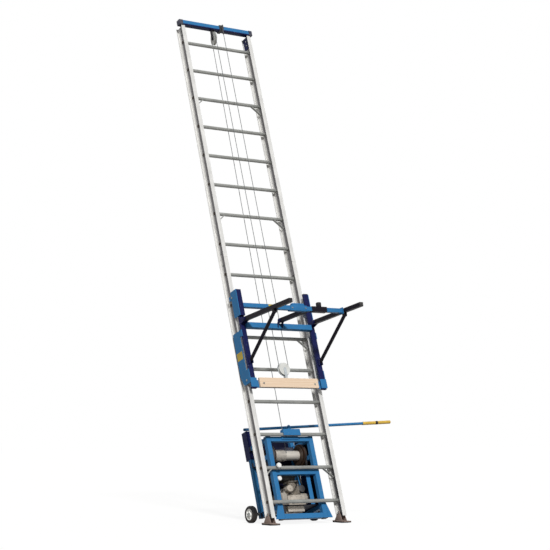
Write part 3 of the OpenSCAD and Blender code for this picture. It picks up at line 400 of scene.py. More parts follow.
# Mill-finish aluminium extrusion: pale, satin, with die lines up the rail, and painted shade in grey along its
# web, where the channel lies in shadow.
RAIL = Metal(
    "aluminium_extruded_mill", "rail_aluminium", "#dfdedb", 0.5, grain=Grain.ALONG_RAIL, streak_mm=5.0,
    contrast=0.08, metallic=0.3, stretch=Stretch("#767476", Axis.Y, -45.5, 8.0, 22.0))
# Drawn aluminium of the ribbed rungs and knee braces: grey, darker than the rails as painted shade standing in
# for their shaded undersides.
RUNG = Metal("aluminium_ribbed_drawn", "rung_aluminium", "#9d9e9a", 0.5, grain=Grain.ALONG_X, metallic=0.3)
# Zinc-plated steel fasteners: grey with a dull, faintly cloudy shine.
ZINC = Metal("steel_zinc_plated", "zinc_steel", "#8f918f", 0.36, cloud_mm=14.0)
# Hot-dip galvanised bracket of the carriage sheave: pale and matt.
PALE = Metal("steel_galvanised_pale", "navy_paint", "#c4cacd", 0.5, cloud_mm=14.0, metallic=0.3)
# Turned steel drum: a pale barrel between dark brown flanges.
STEEL = Metal(
    "steel_turned_greasy", "zinc_steel", "#4a3a30", 0.5, cloud_mm=40.0, metallic=0.3,
    stretch=Stretch("#d8d1c6", Axis.X, -114.0, 163.0))
# Galvanised wire rope: grey strands with a soft spangle. The rope wound on the drum is a brighter copy, painted
# light that stands in for the lit top of the drum.
WOUND = Metal("steel_rope_bright", "wire_rope", "#d3ccc1", 0.45, cloud_mm=30.0, metallic=0.3)
ROPE = Metal("steel_rope_galvanised", "wire_rope", "#6c6f70", 0.5, cloud_mm=30.0, metallic=0.3)
# Blue sprayed enamel on the tube frame and carriage: semi-gloss, chipped on its edges.
BLUE = Enamel("steel_enamel_blue", "blue_paint", "#3577ac", 0.42)
BLUE_EDGE = Enamel("steel_enamel_blue_rubbed", "blue_paint", "#4787b8", 0.48, chips=0.6, chip_mm=6.0)
# The crossbar at the head is blue, with painted shade in navy on its underside.
SHADED_BAR = Enamel(
    "steel_enamel_blue_bar", "blue_paint", "#3577ac", 0.42, stretch=Stretch("#161c4c", Axis.Z, 4800.0, 4871.0))
# The rails of the power unit's frame are blue, with painted shade that makes them nearly black at the back,
# inside the unit.
SHADED_RAILS = Enamel(
    "steel_enamel_blue_rails", "blue_paint", "#3577ac", 0.42, stretch=Stretch("#10122c", Axis.Y, 290.0, 420.0))
# The side plates are blue, and the cover folded round the front of the left post is navy.
PLATE = Enamel(
    "steel_enamel_two_tone", "blue_paint", "#3577ac", 0.42, stretch=Stretch("#161c4c", Axis.X, -400.5, 390.0))
# Sheet enamel of the power unit's sheets and deck: navy, darkened to near-black as painted shade inside the
# unit.
SHEET = Enamel("steel_enamel_sheet", "navy_paint", "#0d0f26", 0.5, bare="#4c4e58", chips=0.72)
# Navy sprayed enamel on posts, plates and lugs: semi-gloss, rubbed pale on its edges.
NAVY = Enamel("steel_enamel_navy", "navy_paint", "#161c4c", 0.45)
NAVY_EDGE = Enamel("steel_enamel_navy_rubbed", "navy_paint", "#222c62", 0.5, chips=0.61, chip_mm=6.0)
# Black sprayed enamel on the platform arms and braces: semi-gloss, rubbed grey on its edges.
BLACK = Enamel("steel_enamel_black", "black_paint", "#18141d", 0.45, bare="#5a5c60")
BLACK_EDGE = Enamel(
    "steel_enamel_black_rubbed", "black_paint", "#26232c", 0.5, bare="#6c6e72", chips=0.61, chip_mm=6.0)
# Steel shoe of the feet: brown-grey primer and dried mud.
SHOE = Enamel("steel_primer_brown", "foot_steel", "#94827a", 0.6, bare="#a89c92", fade=0.25, chips=0.62)
# Oily cast iron of the drum pulley, brown with dried grease.
BROWN = Moulding("iron_cast_oiled", "brown_iron", "#46332a", 0.55, dust="#6b5240", metallic=0.3, skin_mm=2.2)
# Painted iron of bearings, brake band, rope anchor and muffler: dark grey, grainy, dusty.
IRON = Moulding("iron_cast_painted", "cast_iron", "#4a4a4c", 0.6, dust="#76706a", metallic=0.4, skin_mm=2.2)
# Sand-cast aluminium of the engine: matt, pale grey-beige, grainy.
CASTING = Moulding(
    "aluminium_sand_cast", "cast_aluminium", "#bdb4a8", 0.55, dust="#8b8375", metallic=0.35, skin_mm=2.0)
# Moulded black plastic of the tank, tube caps and grips: satin, dusty.
PLASTIC = Moulding("polyethylene_moulded_black", "black_plastic", "#1b1b1e", 0.48)
# Moulded navy plastic of the sleeves on the crossbar's ends: satin, a little dusty.
SLEEVE = Moulding("polyethylene_moulded_navy", "black_plastic", "#2b3048", 0.5)
# Moulded dark brown plastic of the plugs in the rungs' open ends: matt, dusty.
PLUG = Moulding("polyethylene_moulded_brown", "black_plastic", "#3a302a", 0.6, dust="#6b5f55")
# Turned nylon of sheaves and rollers: off-white, waxy, scuffed grey.
NYLON = Moulding("nylon_turned_white", "white_nylon", "#dedfdb", 0.5, dust="#a8a6a0", dust_share=0.2)
# Moulded white nylon of the wheel hubs, the tank cap and the white knobs, with little dust.
HUB = Moulding("nylon_moulded_white", "white_nylon", "#f4f4f1", 0.45, dust="#d0cec8", dust_share=0.1)
# Grey-beige moulded plastic of the engine's fan housing: an even satin skin.
GREY = Moulding("abs_moulded_grey", "grey_plastic", "#a9a298", 0.5)
# Vulcanised rubber: matt black, dusty on its tread.
RUBBER = Moulding("rubber_vulcanised_black", "black_rubber", "#17171a", 0.8, dust="#6d6660", dust_share=0.2)
TYRE = Moulding("rubber_tyre_black", "wheel_tyre", "#17171a", 0.78, dust="#6d6660", dust_share=0.2)
# Dipped vinyl grip: glossy warm yellow, grubby where it is held.
VINYL = Moulding("vinyl_dipped_yellow", "yellow_vinyl", "#dcb64e", 0.42, dust="#8f7a3c")
# Plain yellow adhesive tape: matt and a little grubby.
TAPE = Moulding("vinyl_tape_yellow", "yellow_vinyl", "#c9b04a", 0.55, dust="#8c8350")
# Planed softwood board, pale and dry.
BOARD = Timber("pine_planed_bare", "pine_board", "#efd8bf", 0.72, late="#d3ae86")


def ring_of(count: int, start: float = 0.0) -> list[float]:
    """Returns the angles of evenly spaced places round a circle, in radians."""
    return [start + 2 * math.pi * i / count for i in range(count)]


def half_turn(start: float, steps: int) -> list[float]:
    """Returns the angles of evenly spaced places round half a circle, with both its ends, in radians."""
    return [start + math.pi * i / steps for i in range(steps + 1)]


def round_about(middle: Point, radius: float, count: int, axis: Axis, start: float = 0.0) -> list[Vector]:
    """Returns evenly spaced places on a circle.

    Args:
        middle: Middle of the circle.
        radius: Radius of the circle.
        count: How many places.
        axis: Axis that the circle goes round.
        start: Angle of the first place.

    Returns:
        The places.
    """
    first, second = (n for n in range(3) if n != axis.value)
    places = []
    for angle in ring_of(count, start):
        place = list(middle)
        place[first] += radius * math.cos(angle)
        place[second] += radius * math.sin(angle)
        places.append(Vector(place))
    return places


def evenly(start: Place, end: Place, count: int) -> list[Vector]:
    """Returns evenly spaced places from one end to the other, with that many steps between them."""
    return [Vector(start).lerp(Vector(end), i / count) for i in range(count + 1)]


def mirrored(end: Profile, length: float, middle: Profile = ()) -> Profile:
    """Returns a profile whose far end mirrors its near end.

    Args:
        end: The near end.
        length: Length of the whole.
        middle: What stands between the two ends.

    Returns:
        The whole profile.
    """
    return (*end, *middle, *((length - along, radius) for along, radius in reversed(end)))


def turned_at(place: Point, angle: float = 0.0, axis: Axis = Axis.X) -> Matrix:
    """Returns the frame at a place in millimetres, turned about one axis."""
    return Matrix.Translation(Vector(place) * MM) @ Matrix.Rotation(angle, 4, axis.name)


def side_plane(x: float) -> Matrix:
    """Returns the plane across x, in millimetres: its axes are y and z, and its thickness goes to the right."""
    return Matrix(((0, 0, 1, x * MM), (1, 0, 0, 0), (0, 1, 0, 0), (0, 0, 0, 1)))


def front_plane(y: float) -> Matrix:
    """Returns the plane across y, in millimetres: its axes are x and z, and its thickness goes to the front."""
    return Matrix(((1, 0, 0, 0), (0, 0, -1, y * MM), (0, 1, 0, 0), (0, 0, 0, 1)))


def soft_corners(low: tuple[float, float], high: tuple[float, float], radius: float) -> Profile:
    """Returns a rectangle with rounded corners.

    Args:
        low: Lowest corner.
        high: Highest corner.
        radius: Radius of the corners.

    Returns:
        The corners of its outline.
    """
    (left, bottom), (right, top) = (c + radius for c in low), (c - radius for c in high)
    steps = 4
    outline = []
    for corner, (u, v) in enumerate(((right, top), (left, top), (left, bottom), (right, bottom))):
        for i in range(steps + 1):
            angle = math.pi / 2 * (corner + i / steps)
            outline.append((u + radius * math.cos(angle), v + radius * math.sin(angle)))
    return tuple(outline)


class Shape:
    """A mesh under construction, with its sizes given in millimetres."""

    def __init__(self) -> None:
        """Starts an empty mesh."""
        self.bm = bmesh.new()

    def take(self, part: bmesh.types.BMesh, spot: Matrix) -> None:
        """Merges a finished part into the mesh.

        Args:
            part: The part, which is freed.
            spot: Where it goes.
        """
        bmesh.ops.remove_doubles(part, verts=part.verts[:], dist=1e-6)
        bmesh.ops.recalc_face_normals(part, faces=part.faces[:])
        part.transform(spot)
        mesh = bpy.data.meshes.new("part")
        part.to_mesh(mesh)
        part.free()
        self.bm.from_mesh(mesh)
        bpy.data.meshes.remove(mesh)

    def bevel(self, part: bmesh.types.BMesh, edge: float, sharp: float = 40.0) -> None:
        """Rounds a part's sharp edges.

        Args:
            part: The part.
            edge: Width of the rounding.
            sharp: Least angle of a sharp edge, in degrees.
        """
        bmesh.ops.recalc_face_normals(part, faces=part.faces[:])
        edges = [e for e in part.edges if e.is_manifold and e.calc_face_angle(0.0) > math.radians(sharp)]
        bmesh.ops.bevel(
            part, geom=edges, offset=edge * MM, offset_type="OFFSET", segments=2, profile=0.5,
            affect="EDGES", material=-1, clamp_overlap=True)

    def box(self, low: Point, high: Point, edge: float, spot: Matrix = LEVEL) -> None:
        """Adds a box with rounded edges.

        Args:
            low: One corner.
            high: The opposite corner.
            edge: Width of the rounding.
            spot: Where its frame goes.
        """
        part = bmesh.new()
        size = [abs(b - a) * MM for a, b in zip(low, high)]
        middle = Vector([(a + b) / 2 * MM for a, b in zip(low, high)])
        bmesh.ops.create_cube(part, size=1.0, matrix=Matrix.Diagonal((*size, 1.0)))
        self.bevel(part, edge)
        self.take(part, spot @ Matrix.Translation(middle))

    def boxes(self, rows: Boxes) -> None:
        """Adds several boxes, each given by its two corners and the width of its rounding."""
        for low, high, edge in rows:
            self.box(low, high, edge)

    def rod(
        self, start: Place, end: Place, radius: float, edge: float, sides: int = 28,
        far_radius: float | None = None
    ) -> None:
        """Adds a round or many-sided rod.

        Args:
            start: Middle of its first end.
            end: Middle of its far end.
            radius: Radius at its first end.
            edge: Width of the rounding of its ends.
            sides: Sides of its section.
            far_radius: Radius at its far end, where it differs.
        """
        part = bmesh.new()
        run = (Vector(end) - Vector(start)) * MM
        far = radius if far_radius is None else far_radius
        bmesh.ops.create_cone(
            part, cap_ends=True, segments=sides, radius1=radius * MM, radius2=far * MM, depth=run.length)
        self.bevel(part, edge, 50.0)
        turn = run.to_track_quat("Z", "Y").to_matrix().to_4x4()
        self.take(part, Matrix.Translation(Vector(start) * MM + run / 2) @ turn)

    def rods(self, places: Iterable[Place], run: Point, radius: float, edge: float, sides: int = 6) -> None:
        """Adds a rod at each place: a rib, a bolt's head or a screw's.

        Args:
            places: Where each starts.
            run: Which way and how far each goes.
            radius: Radius of each.
            edge: Width of the rounding of their ends.
            sides: Sides of their sections.
        """
        for place in places:
            start = Vector(place)
            self.rod(start, start + Vector(run), radius, edge, sides)

    def turned(
        self, profile: Profile, start: Point, axis: Point, closed: bool = False, steps: int = 48
    ) -> None:
        """Adds a shape turned about an axis.

        Args:
            profile: Places along the axis, with the radius at each.
            start: Where the axis starts.
            axis: Direction of the axis.
            closed: Whether the profile is a closed loop.
            steps: Steps round the axis.
        """
        part = bmesh.new()
        verts = [part.verts.new((radius * MM, 0.0, along * MM)) for along, radius in profile]
        pairs = list(zip(verts, verts[1:])) + ([(verts[-1], verts[0])] if closed else [])
        edges = [part.edges.new(pair) for pair in pairs]
        bmesh.ops.spin(
            part, geom=verts + edges, cent=(0, 0, 0), axis=(0, 0, 1), dvec=(0, 0, 0), angle=2 * math.pi,
            steps=steps, use_merge=True, use_duplicate=False)
        turn = Vector(axis).to_track_quat("Z", "Y").to_matrix().to_4x4()
        self.take(part, Matrix.Translation(Vector(start) * MM) @ turn)

    def plate(
        self, outline: Profile, thickness: float, spot: Matrix, holes: tuple[Point, ...] = (), edge: float = 0.0
    ) -> None:
        """Adds a flat plate with round holes.

        Args:
            outline: Corners in the plate's own plane.
            thickness: Thickness along the plane's normal.
            spot: Where the plane goes, in metres.
            holes: Middle and radius of each hole.
            edge: Width of the rounding of its edges.
        """
        part = bmesh.new()
        rim = [part.verts.new((u * MM, v * MM, 0.0)) for u, v in outline]
        for pair in zip(rim, rim[1:] + rim[:1]):
            part.edges.new(pair)
        for u, v, radius in holes:
            bmesh.ops.create_circle(
                part, cap_ends=False, segments=28, radius=radius * MM,
                matrix=Matrix.Translation((u * MM, v * MM, 0.0)))
        bmesh.ops.triangle_fill(part, use_beauty=True, use_dissolve=False, edges=part.edges[:])
        raised = bmesh.ops.extrude_face_region(part, geom=part.faces[:])["geom"]
        verts = [g for g in raised if isinstance(g, bmesh.types.BMVert)]
        bmesh.ops.translate(part, verts=verts, vec=(0.0, 0.0, thickness * MM))
        if edge:
            self.bevel(part, edge)
        self.take(part, spot)

    def swept(
        self, path: list[Vector], radius: float, sides: int = 12, lay: float = 0.0, groove: float = 1.0
    ) -> None:
        """Adds a tube along a path, twisted as a rope is laid.

        Args:
            path: Points that the tube follows.
            radius: Radius of the tube.
            sides: Sides of its section.
            lay: Length in which the strands turn once, or 0 for a plain tube.
            groove: Share of the radius that is left between strands.
        """
        part = bmesh.new()
        points = [p * MM for p in path]
        runs = [(b - a).normalized() for a, b in zip(points, points[1:])]
        ways = [runs[0]] + [(a + b).normalized() for a, b in zip(runs, runs[1:])] + [runs[-1]]
        ring = bmesh.ops.create_circle(part, cap_ends=False, segments=sides, radius=radius * MM)["verts"]
        for vert in ring[1::2]:
            vert.co *= groove
        first = edges = part.edges[:]
        turn = ways[0].to_track_quat("Z", "Y").to_matrix().to_4x4()
        bmesh.ops.transform(part, matrix=Matrix.Translation(points[0]) @ turn, verts=ring)
        for here, there, old, new in zip(points, points[1:], ways, ways[1:]):
            grown = bmesh.ops.extrude_edge_only(part, edges=edges)["geom"]
            ring = [g for g in grown if isinstance(g, bmesh.types.BMVert)]
            fresh = set(ring)
            edges = [g for g in grown if isinstance(g, bmesh.types.BMEdge) and set(g.verts) <= fresh]
            swing = old.rotation_difference(new).to_matrix().to_4x4()
            if lay:
                swing = Matrix.Rotation((there - here).length / (lay * MM) * 2 * math.pi, 4, new) @ swing
            move = Matrix.Translation(there) @ swing @ Matrix.Translation(-here)
            bmesh.ops.transform(part, matrix=move, verts=ring)
        for loop in (first, edges):
            bmesh.ops.edgeloop_fill(part, edges=loop)
        self.take(part, LEVEL)

    def bead(self, start: Point, end: Point, radius: float, steps: int) -> None:
        """Adds a straight weld bead with a rippled back."""
        self.swept(evenly(start, end, steps), radius, 10, 9.0, 0.7)

    def hex_bolt(
        self, start: Point, end: Point, radius: float, head: float = 8.5, height: float = 6.0
    ) -> None:
        """Adds a bolt with a nut and washer at its start and a hexagon head and washer at its end.

        Args:
            start: Face that the nut bears on.
            end: Face that the head bears on.
            radius: Radius of the shank.
            head: Radius of the head across its corners.
            height: Height of the head and of the nut.
        """
        near, far = Vector(start), Vector(end)
        rise = (far - near).normalized() * height
        self.rod(near - rise, far, radius, 0.6, 20)
        for face, up in ((far, rise), (near, rise * -0.7)):
            self.rod(face, face + up * 0.25, head, 0.3)
            self.rod(face + up * 0.25, face + up, head * 0.98, 0.8, 6)

    def piece(
        self, name: str, body: str, finish: Finish, spot: Matrix = LADDER, replaces: tuple[str, ...] = ()
    ) -> bpy.types.Object:
        """Makes the mesh a piece that rides on a body.

        Args:
            name: Name of the piece.
            body: Body that it moves with.
            finish: Its finish.
            spot: Frame that its sizes are in.
            replaces: Nodes of the model that it stands for.

        Returns:
            The new object.
        """
        self.bm.transform(spot)
        mesh = bpy.data.meshes.new(name)
        self.bm.to_mesh(mesh)
        self.bm.free()
        mesh.shade_smooth()
        mesh.set_sharp_from_angle(angle=SHARP)
        mesh.materials.append(finish.material())
        made = bpy.data.objects.new(name, mesh)
        bpy.context.scene.collection.objects.link(made)
        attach(made, body)
        if replaces:
            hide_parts(*replaces)
        LOG.info("%s on %s, %d faces", name, body, len(mesh.polygons))
        return made


@dataclass(frozen=True)
class BoltHeads:
    """Bolt or screw heads of one size, one at every crossing of their places along x, y and z."""

    xs: tuple[float, ...]
    ys: tuple[float, ...]
    zs: tuple[float, ...]
    run: Point
    radius: float
    edge: float = 1.0
    sides: int = 6

    def add(self, shape: Shape) -> None:
        """Adds the heads to a mesh."""
        shape.rods(product(self.xs, self.ys, self.zs), self.run, self.radius, self.edge, self.sides)


@dataclass
class Studio:
    """White floor, plain soft light and the camera at the photograph's place."""

    eye: Point = (-7.8885, -11.139, 0.7669)
    look: Point = (0.55598, 0.82494, 0.10177)
    lens_mm: float = 102.36
    sensor_mm: float = 36.0
    reach: float = 200.0
    sun_from: Point = (-2.6, -6.0, 5.0)
    sun_strength: float = 2.6
    sun_width: float = math.radians(6.0)
    sky_strength: float = 0.32
    floor_half: float = 60.0
    floor_z: float = -0.0006
    floor_lit: str = "#8a857e"
    floor_seen: str = "#f4f4f2"
    floor_glow: float = 1.06
    glow_share: float = 0.82

    def camera(self) -> None:
        """Sets the camera."""
        data = bpy.data.cameras.new("camera")
        data.lens = self.lens_mm
        data.sensor_width = self.sensor_mm
        data.clip_end = self.reach
        camera = bpy.data.objects.new("camera", data)
        camera.location = self.eye
        camera.rotation_euler = Vector(self.look).to_track_quat("-Z", "Y").to_euler()
        bpy.context.scene.collection.objects.link(camera)
        bpy.context.scene.camera = camera

    def seen_rays(self, tree: bpy.types.NodeTree) -> Socket:
        """Tells the rays that show the background from those that light the object.

        Args:
            tree: Tree of the floor or the world.

        Returns:
            A factor that is 1 for rays that are seen, mirrored or refracted.
        """
        rays = add_node(tree, "ShaderNodeLightPath").outputs
        seen = rays["Is Camera Ray"]
        for kind in ("Is Glossy Ray", "Is Transmission Ray"):
            both = add_node(tree, "ShaderNodeMath", {0: seen, 1: rays[kind]}, operation="MAXIMUM")
            seen = both.outputs["Value"]
        return seen

    def light(self) -> None:
        """Sets the sun and the plain white sky."""
        data = bpy.data.lights.new("sun", "SUN")
        data.energy = self.sun_strength
        data.angle = self.sun_width
        sun = bpy.data.objects.new("sun", data)
        sun.rotation_euler = (-Vector(self.sun_from)).to_track_quat("-Z", "Y").to_euler()
        bpy.context.scene.collection.objects.link(sun)
        world = bpy.data.worlds.new("studio")
        world.use_nodes = True
        tree = world.node_tree
        tree.nodes.clear()
        soft, white = (
            add_node(tree, "ShaderNodeBackground", {"Color": WHITE, "Strength": strength})
            for strength in (self.sky_strength, 1.0))
        mixed = add_node(
            tree, "ShaderNodeMixShader",
            {0: self.seen_rays(tree), 1: soft.outputs["Background"], 2: white.outputs["Background"]})
        add_node(tree, "ShaderNodeOutputWorld", {"Surface": mixed.outputs["Shader"]})
        bpy.context.scene.world = world

    def floor(self) -> None:
        """Lays the pale floor, which keeps a faint shadow."""
        part = bmesh.new()
        bmesh.ops.create_grid(part, x_segments=1, y_segments=1, size=self.floor_half)
        bmesh.ops.translate(part, verts=part.verts[:], vec=(0.0, 0.0, self.floor_z))
        mesh = bpy.data.meshes.new("floor")
        part.to_mesh(mesh)
        part.free()
        paper = bpy.data.materials.new("paper_floor_white")
        paper.use_nodes = True
        tree = paper.node_tree
        tree.nodes.clear()
        seen = self.seen_rays(tree)
        tone = add_node(
            tree, "ShaderNodeMix", {0: seen, 6: linear(self.floor_lit), 7: linear(self.floor_seen)},
            data_type="RGBA")
        matt = add_node(tree, "ShaderNodeBsdfDiffuse", {"Color": tone.outputs[2]})
        glow = add_node(tree, "ShaderNodeEmission", {"Color": WHITE, "Strength": self.floor_glow})
        most = add_node(tree, "ShaderNodeMath", {0: seen, 1: self.glow_share}, operation="MULTIPLY")
        mixed = add_node(
            tree, "ShaderNodeMixShader",
            {0: most.outputs["Value"], 1: matt.outputs["BSDF"], 2: glow.outputs["Emission"]})
        add_node(tree, "ShaderNodeOutputMaterial", {"Surface": mixed.outputs["Shader"]})
        mesh.materials.append(paper)
        floor = bpy.data.objects.new("floor", mesh)
        bpy.context.scene.collection.objects.link(floor)

    def build(self) -> None:
        """Builds the studio."""
        bpy.context.scene.view_settings.view_transform = "Standard"
        self.camera()
        self.light()
        self.floor()


@dataclass(frozen=True)
class Coat:
    """Finish of some nodes of the model, with the rounding of their edges and the finish of rubbed edges."""

    finish: Finish
    edge_mm: float
    nodes: tuple[str, ...]
    rubbed: Finish | None = None


@dataclass
class Coating:
    """Coats of the nodes of the model that stay in view."""

    coats: tuple[Coat, ...] = (
        Coat(RAIL, 0.7, ("lower_rails", "upper_rails", "rail_splices")),
        Coat(BLUE, 0.9, (
            "frame_posts", "rung_hook", "lever_bracket", "carriage_tubes", "platform_tube", "lever_tube"),
            BLUE_EDGE),
        Coat(NAVY, 0.8, (
            "head_brackets", "spring_housing", "carriage_posts", "arm_lugs", "brace_seats"),
            NAVY_EDGE),
        Coat(BLACK, 0.9, ("head_block", "side_arms", "center_arm", "braces", "load_cleat"), BLACK_EDGE),
        Coat(CASTING, 1.0, ("engine_crankcase", "engine_cylinder", "reduction_gearbox")),
        Coat(IRON, 0.8, ("cable_anchor", "drum_bearings", "brake_band", "engine_pulley")),
        Coat(NYLON, 0.8, ("glide_shoes", "upper_rollers", "lower_rollers", "head_sheave", "carriage_sheave")),
        Coat(ZINC, 0.6, ("wheel_axle",)),
        Coat(SHEET, 0.5, ("unit_panels",)),
        Coat(PLATE, 0.9, ("roller_plates",)),
        Coat(SHADED_BAR, 0.9, ("head_crossbar",)),
        Coat(PALE, 0.8, ("sheave_bracket",)),
        Coat(SHADED_RAILS, 0.9, ("frame_rails",)),
        Coat(RUNG, 0.8, ("knee_braces",)),
        Coat(CASTING, 1.2, ("air_cleaner",)),
        Coat(RUBBER, 0.8, ("drive_belt",)),
        Coat(BOARD, 1.6, ("bumper_board",)),
        Coat(STEEL, 1.0, ("drum",)),
        Coat(BROWN, 1.0, ("drum_pulley",)))
    weld_mm: float = 0.01
    flat: float = math.radians(0.6)
    dip_mm: float = 3.5

    def dress(self, name: str, coat: Coat) -> None:
        """Gives a node its material and rounds its sharp edges with modifiers.

        Args:
            name: Name of the node.
            coat: Its coat.
        """
        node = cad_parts[name]
        finish = coat.finish
        node.data.materials.clear()
        for each in (finish, coat.rubbed or finish):
            node.data.materials.append(each.material())
        weld = node.modifiers.new("weld", "WELD")
        weld.merge_threshold = self.weld_mm * MM
        flat = node.modifiers.new("flat", "DECIMATE")
        flat.decimate_type = "DISSOLVE"
        flat.angle_limit = self.flat
        bevel = node.modifiers.new("edges", "BEVEL")
        bevel.width = coat.edge_mm * MM
        bevel.segments = 2
        bevel.limit_method = "ANGLE"
        bevel.angle_limit = SHARP
        bevel.material = 1
        bevel.use_clamp_overlap = True
        normal = node.modifiers.new("normals", "WEIGHTED_NORMAL")
        normal.keep_sharp = False
        LOG.info("%s in %s", name, finish.name)

    def build(self) -> None:
        """Coats every node that stays in view, and thickens the braces by the plastic they are dipped in."""
        for coat in self.coats:
            for name in coat.nodes:
                self.dress(name, coat)
        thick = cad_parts["braces"].modifiers.new("plastic dip", "DISPLACE")
        thick.strength = self.dip_mm * MM
        thick.mid_level = 0.0


@dataclass
class Ladder:
    """Ribbed rungs, their end plugs and the bolts of the two ladder sections."""

    half: float = 376.0
    web: float = 3.0
    pitch: float = 305.0
    below: float = 38.0
    rungs: int = 16
    rung_r: float = 16.0
    bore_r: float = 13.5
    rim_r: float = 20.0
    ribs: int = 24
    rib_h: float = 0.7
    joint_y: float = 15.0
    joint_z: tuple[float, float] = (2342.0, 2462.0)
    head_z: tuple[float, float] = (4816.0, 4774.0)
    foot_grip: float = 26.3

    def rung(self, shape: Shape, z: float) -> None:
        """Adds one ribbed rung with its swaged beads.

        Args:
            shape: Mesh that takes it.
            z: Height of its axis along the rails.
        """
        part = bmesh.new()
        end = (self.half + self.web / 2) * MM
        turn = Matrix.Translation((-end, 0.0, z * MM)) @ Matrix.Rotation(math.pi / 2, 4, "Y")
        loops = []
        for radius, groove in ((self.rung_r, 1 - self.rib_h / self.rung_r), (self.bore_r, 1.0)):
            ring = bmesh.ops.create_circle(
                part, cap_ends=False, segments=2 * self.ribs, radius=radius * MM, matrix=turn)["verts"]
            for vert in ring[1::2]:
                vert.co.y *= groove
                vert.co.z = z * MM + (vert.co.z - z * MM) * groove
            near = list({e for v in ring for e in v.link_edges})
            grown = bmesh.ops.extrude_edge_only(part, edges=near)["geom"]
            fresh = {g for g in grown if isinstance(g, bmesh.types.BMVert)}
            bmesh.ops.translate(part, verts=list(fresh), vec=(2 * end, 0.0, 0.0))
            far = [g for g in grown if isinstance(g, bmesh.types.BMEdge) and set(g.verts) <= fresh]
            loops.append((near, far))
        for outer, inner in zip(*loops):
            bmesh.ops.bridge_loops(part, edges=outer + inner)
        shape.take(part, LEVEL)
        rim = self.rim_r
        bead = ((0.0, self.bore_r), (0.0, rim), (1.4, rim), (3.0, rim - 2.0), (3.0, self.bore_r))
        for side, way in product(SIDES, SIDES):
            face = side * (self.half + way * self.web / 2)
            shape.turned(bead, (face, 0.0, z), (side * way, 0.0, 0.0), True, 32)

    def build(self) -> None:
        """Builds the rungs, the plugs and the bolts."""
        heights = [self.pitch * (k + 0.5) - self.below for k in range(self.rungs)]
        inside, outside = self.half - self.web / 2, self.half + self.web / 2
        shape = Shape()
        for z in heights:
            self.rung(shape, z)
        shape.piece("ladder_rungs", "ladder", RUNG, replaces=("rungs",))
        plug = (
            (-12.0, 0.0), (-12.0, self.bore_r - 0.4), (3.0, self.bore_r - 0.2), (3.0, self.rung_r + 0.5),
            (4.6, self.rung_r), (5.4, self.rung_r - 4.0), (5.6, 0.0))
        shape = Shape()
        for z, side in product(heights, SIDES):
            shape.turned(plug, (side * outside, 0.0, z), (side, 0.0, 0.0), steps=28)
        shape.piece("rung_end_plugs", "ladder", PLUG)
        bolts = [(inside - 8.0, outside, self.joint_y, z, 5.0) for z in self.joint_z]
        bolts += [(inside - 6.0, outside, 0.0, z, 5.0) for z in self.head_z]
        bolts += [(self.half - self.foot_grip, self.half + self.foot_grip, 0.0, 0.0, 6.0)]
        shape = Shape()
        for side, (nut, head, y, z, radius) in product(SIDES, bolts):
            shape.hex_bolt((side * nut, y, z), (side * head, y, z), radius)
        shape.piece("ladder_fasteners", "ladder", ZINC, replaces=("ladder_bolts",))


@dataclass
class Head:
    """End sleeves of the crossbar."""

    y: float = -35.0
    z: float = 4885.0
    bar: float = 50.0
    end: float = 411.0
    cap: float = 6.0
    wrap: float = 34.0
    wall: float = 1.5
    lip: float = 5.0
    lip_wall: float = 2.6

    def build(self) -> None:
        """Builds the two moulded sleeves, each with a lip at its inner end."""
        shape = Shape()
        inner = self.end - self.wrap
        rows = ((self.end + self.cap, self.wall), (inner + self.lip, self.lip_wall))
        for side, (outer, wall) in product(SIDES, rows):
            reach = self.bar / 2 + wall
            shape.box(
                (side * inner, self.y - reach, self.z - reach),
                (side * outer, self.y + reach, self.z + reach), 1.2)
        shape.piece("crossbar_end_sleeves", "ladder", SLEEVE, replaces=("crossbar_caps",))


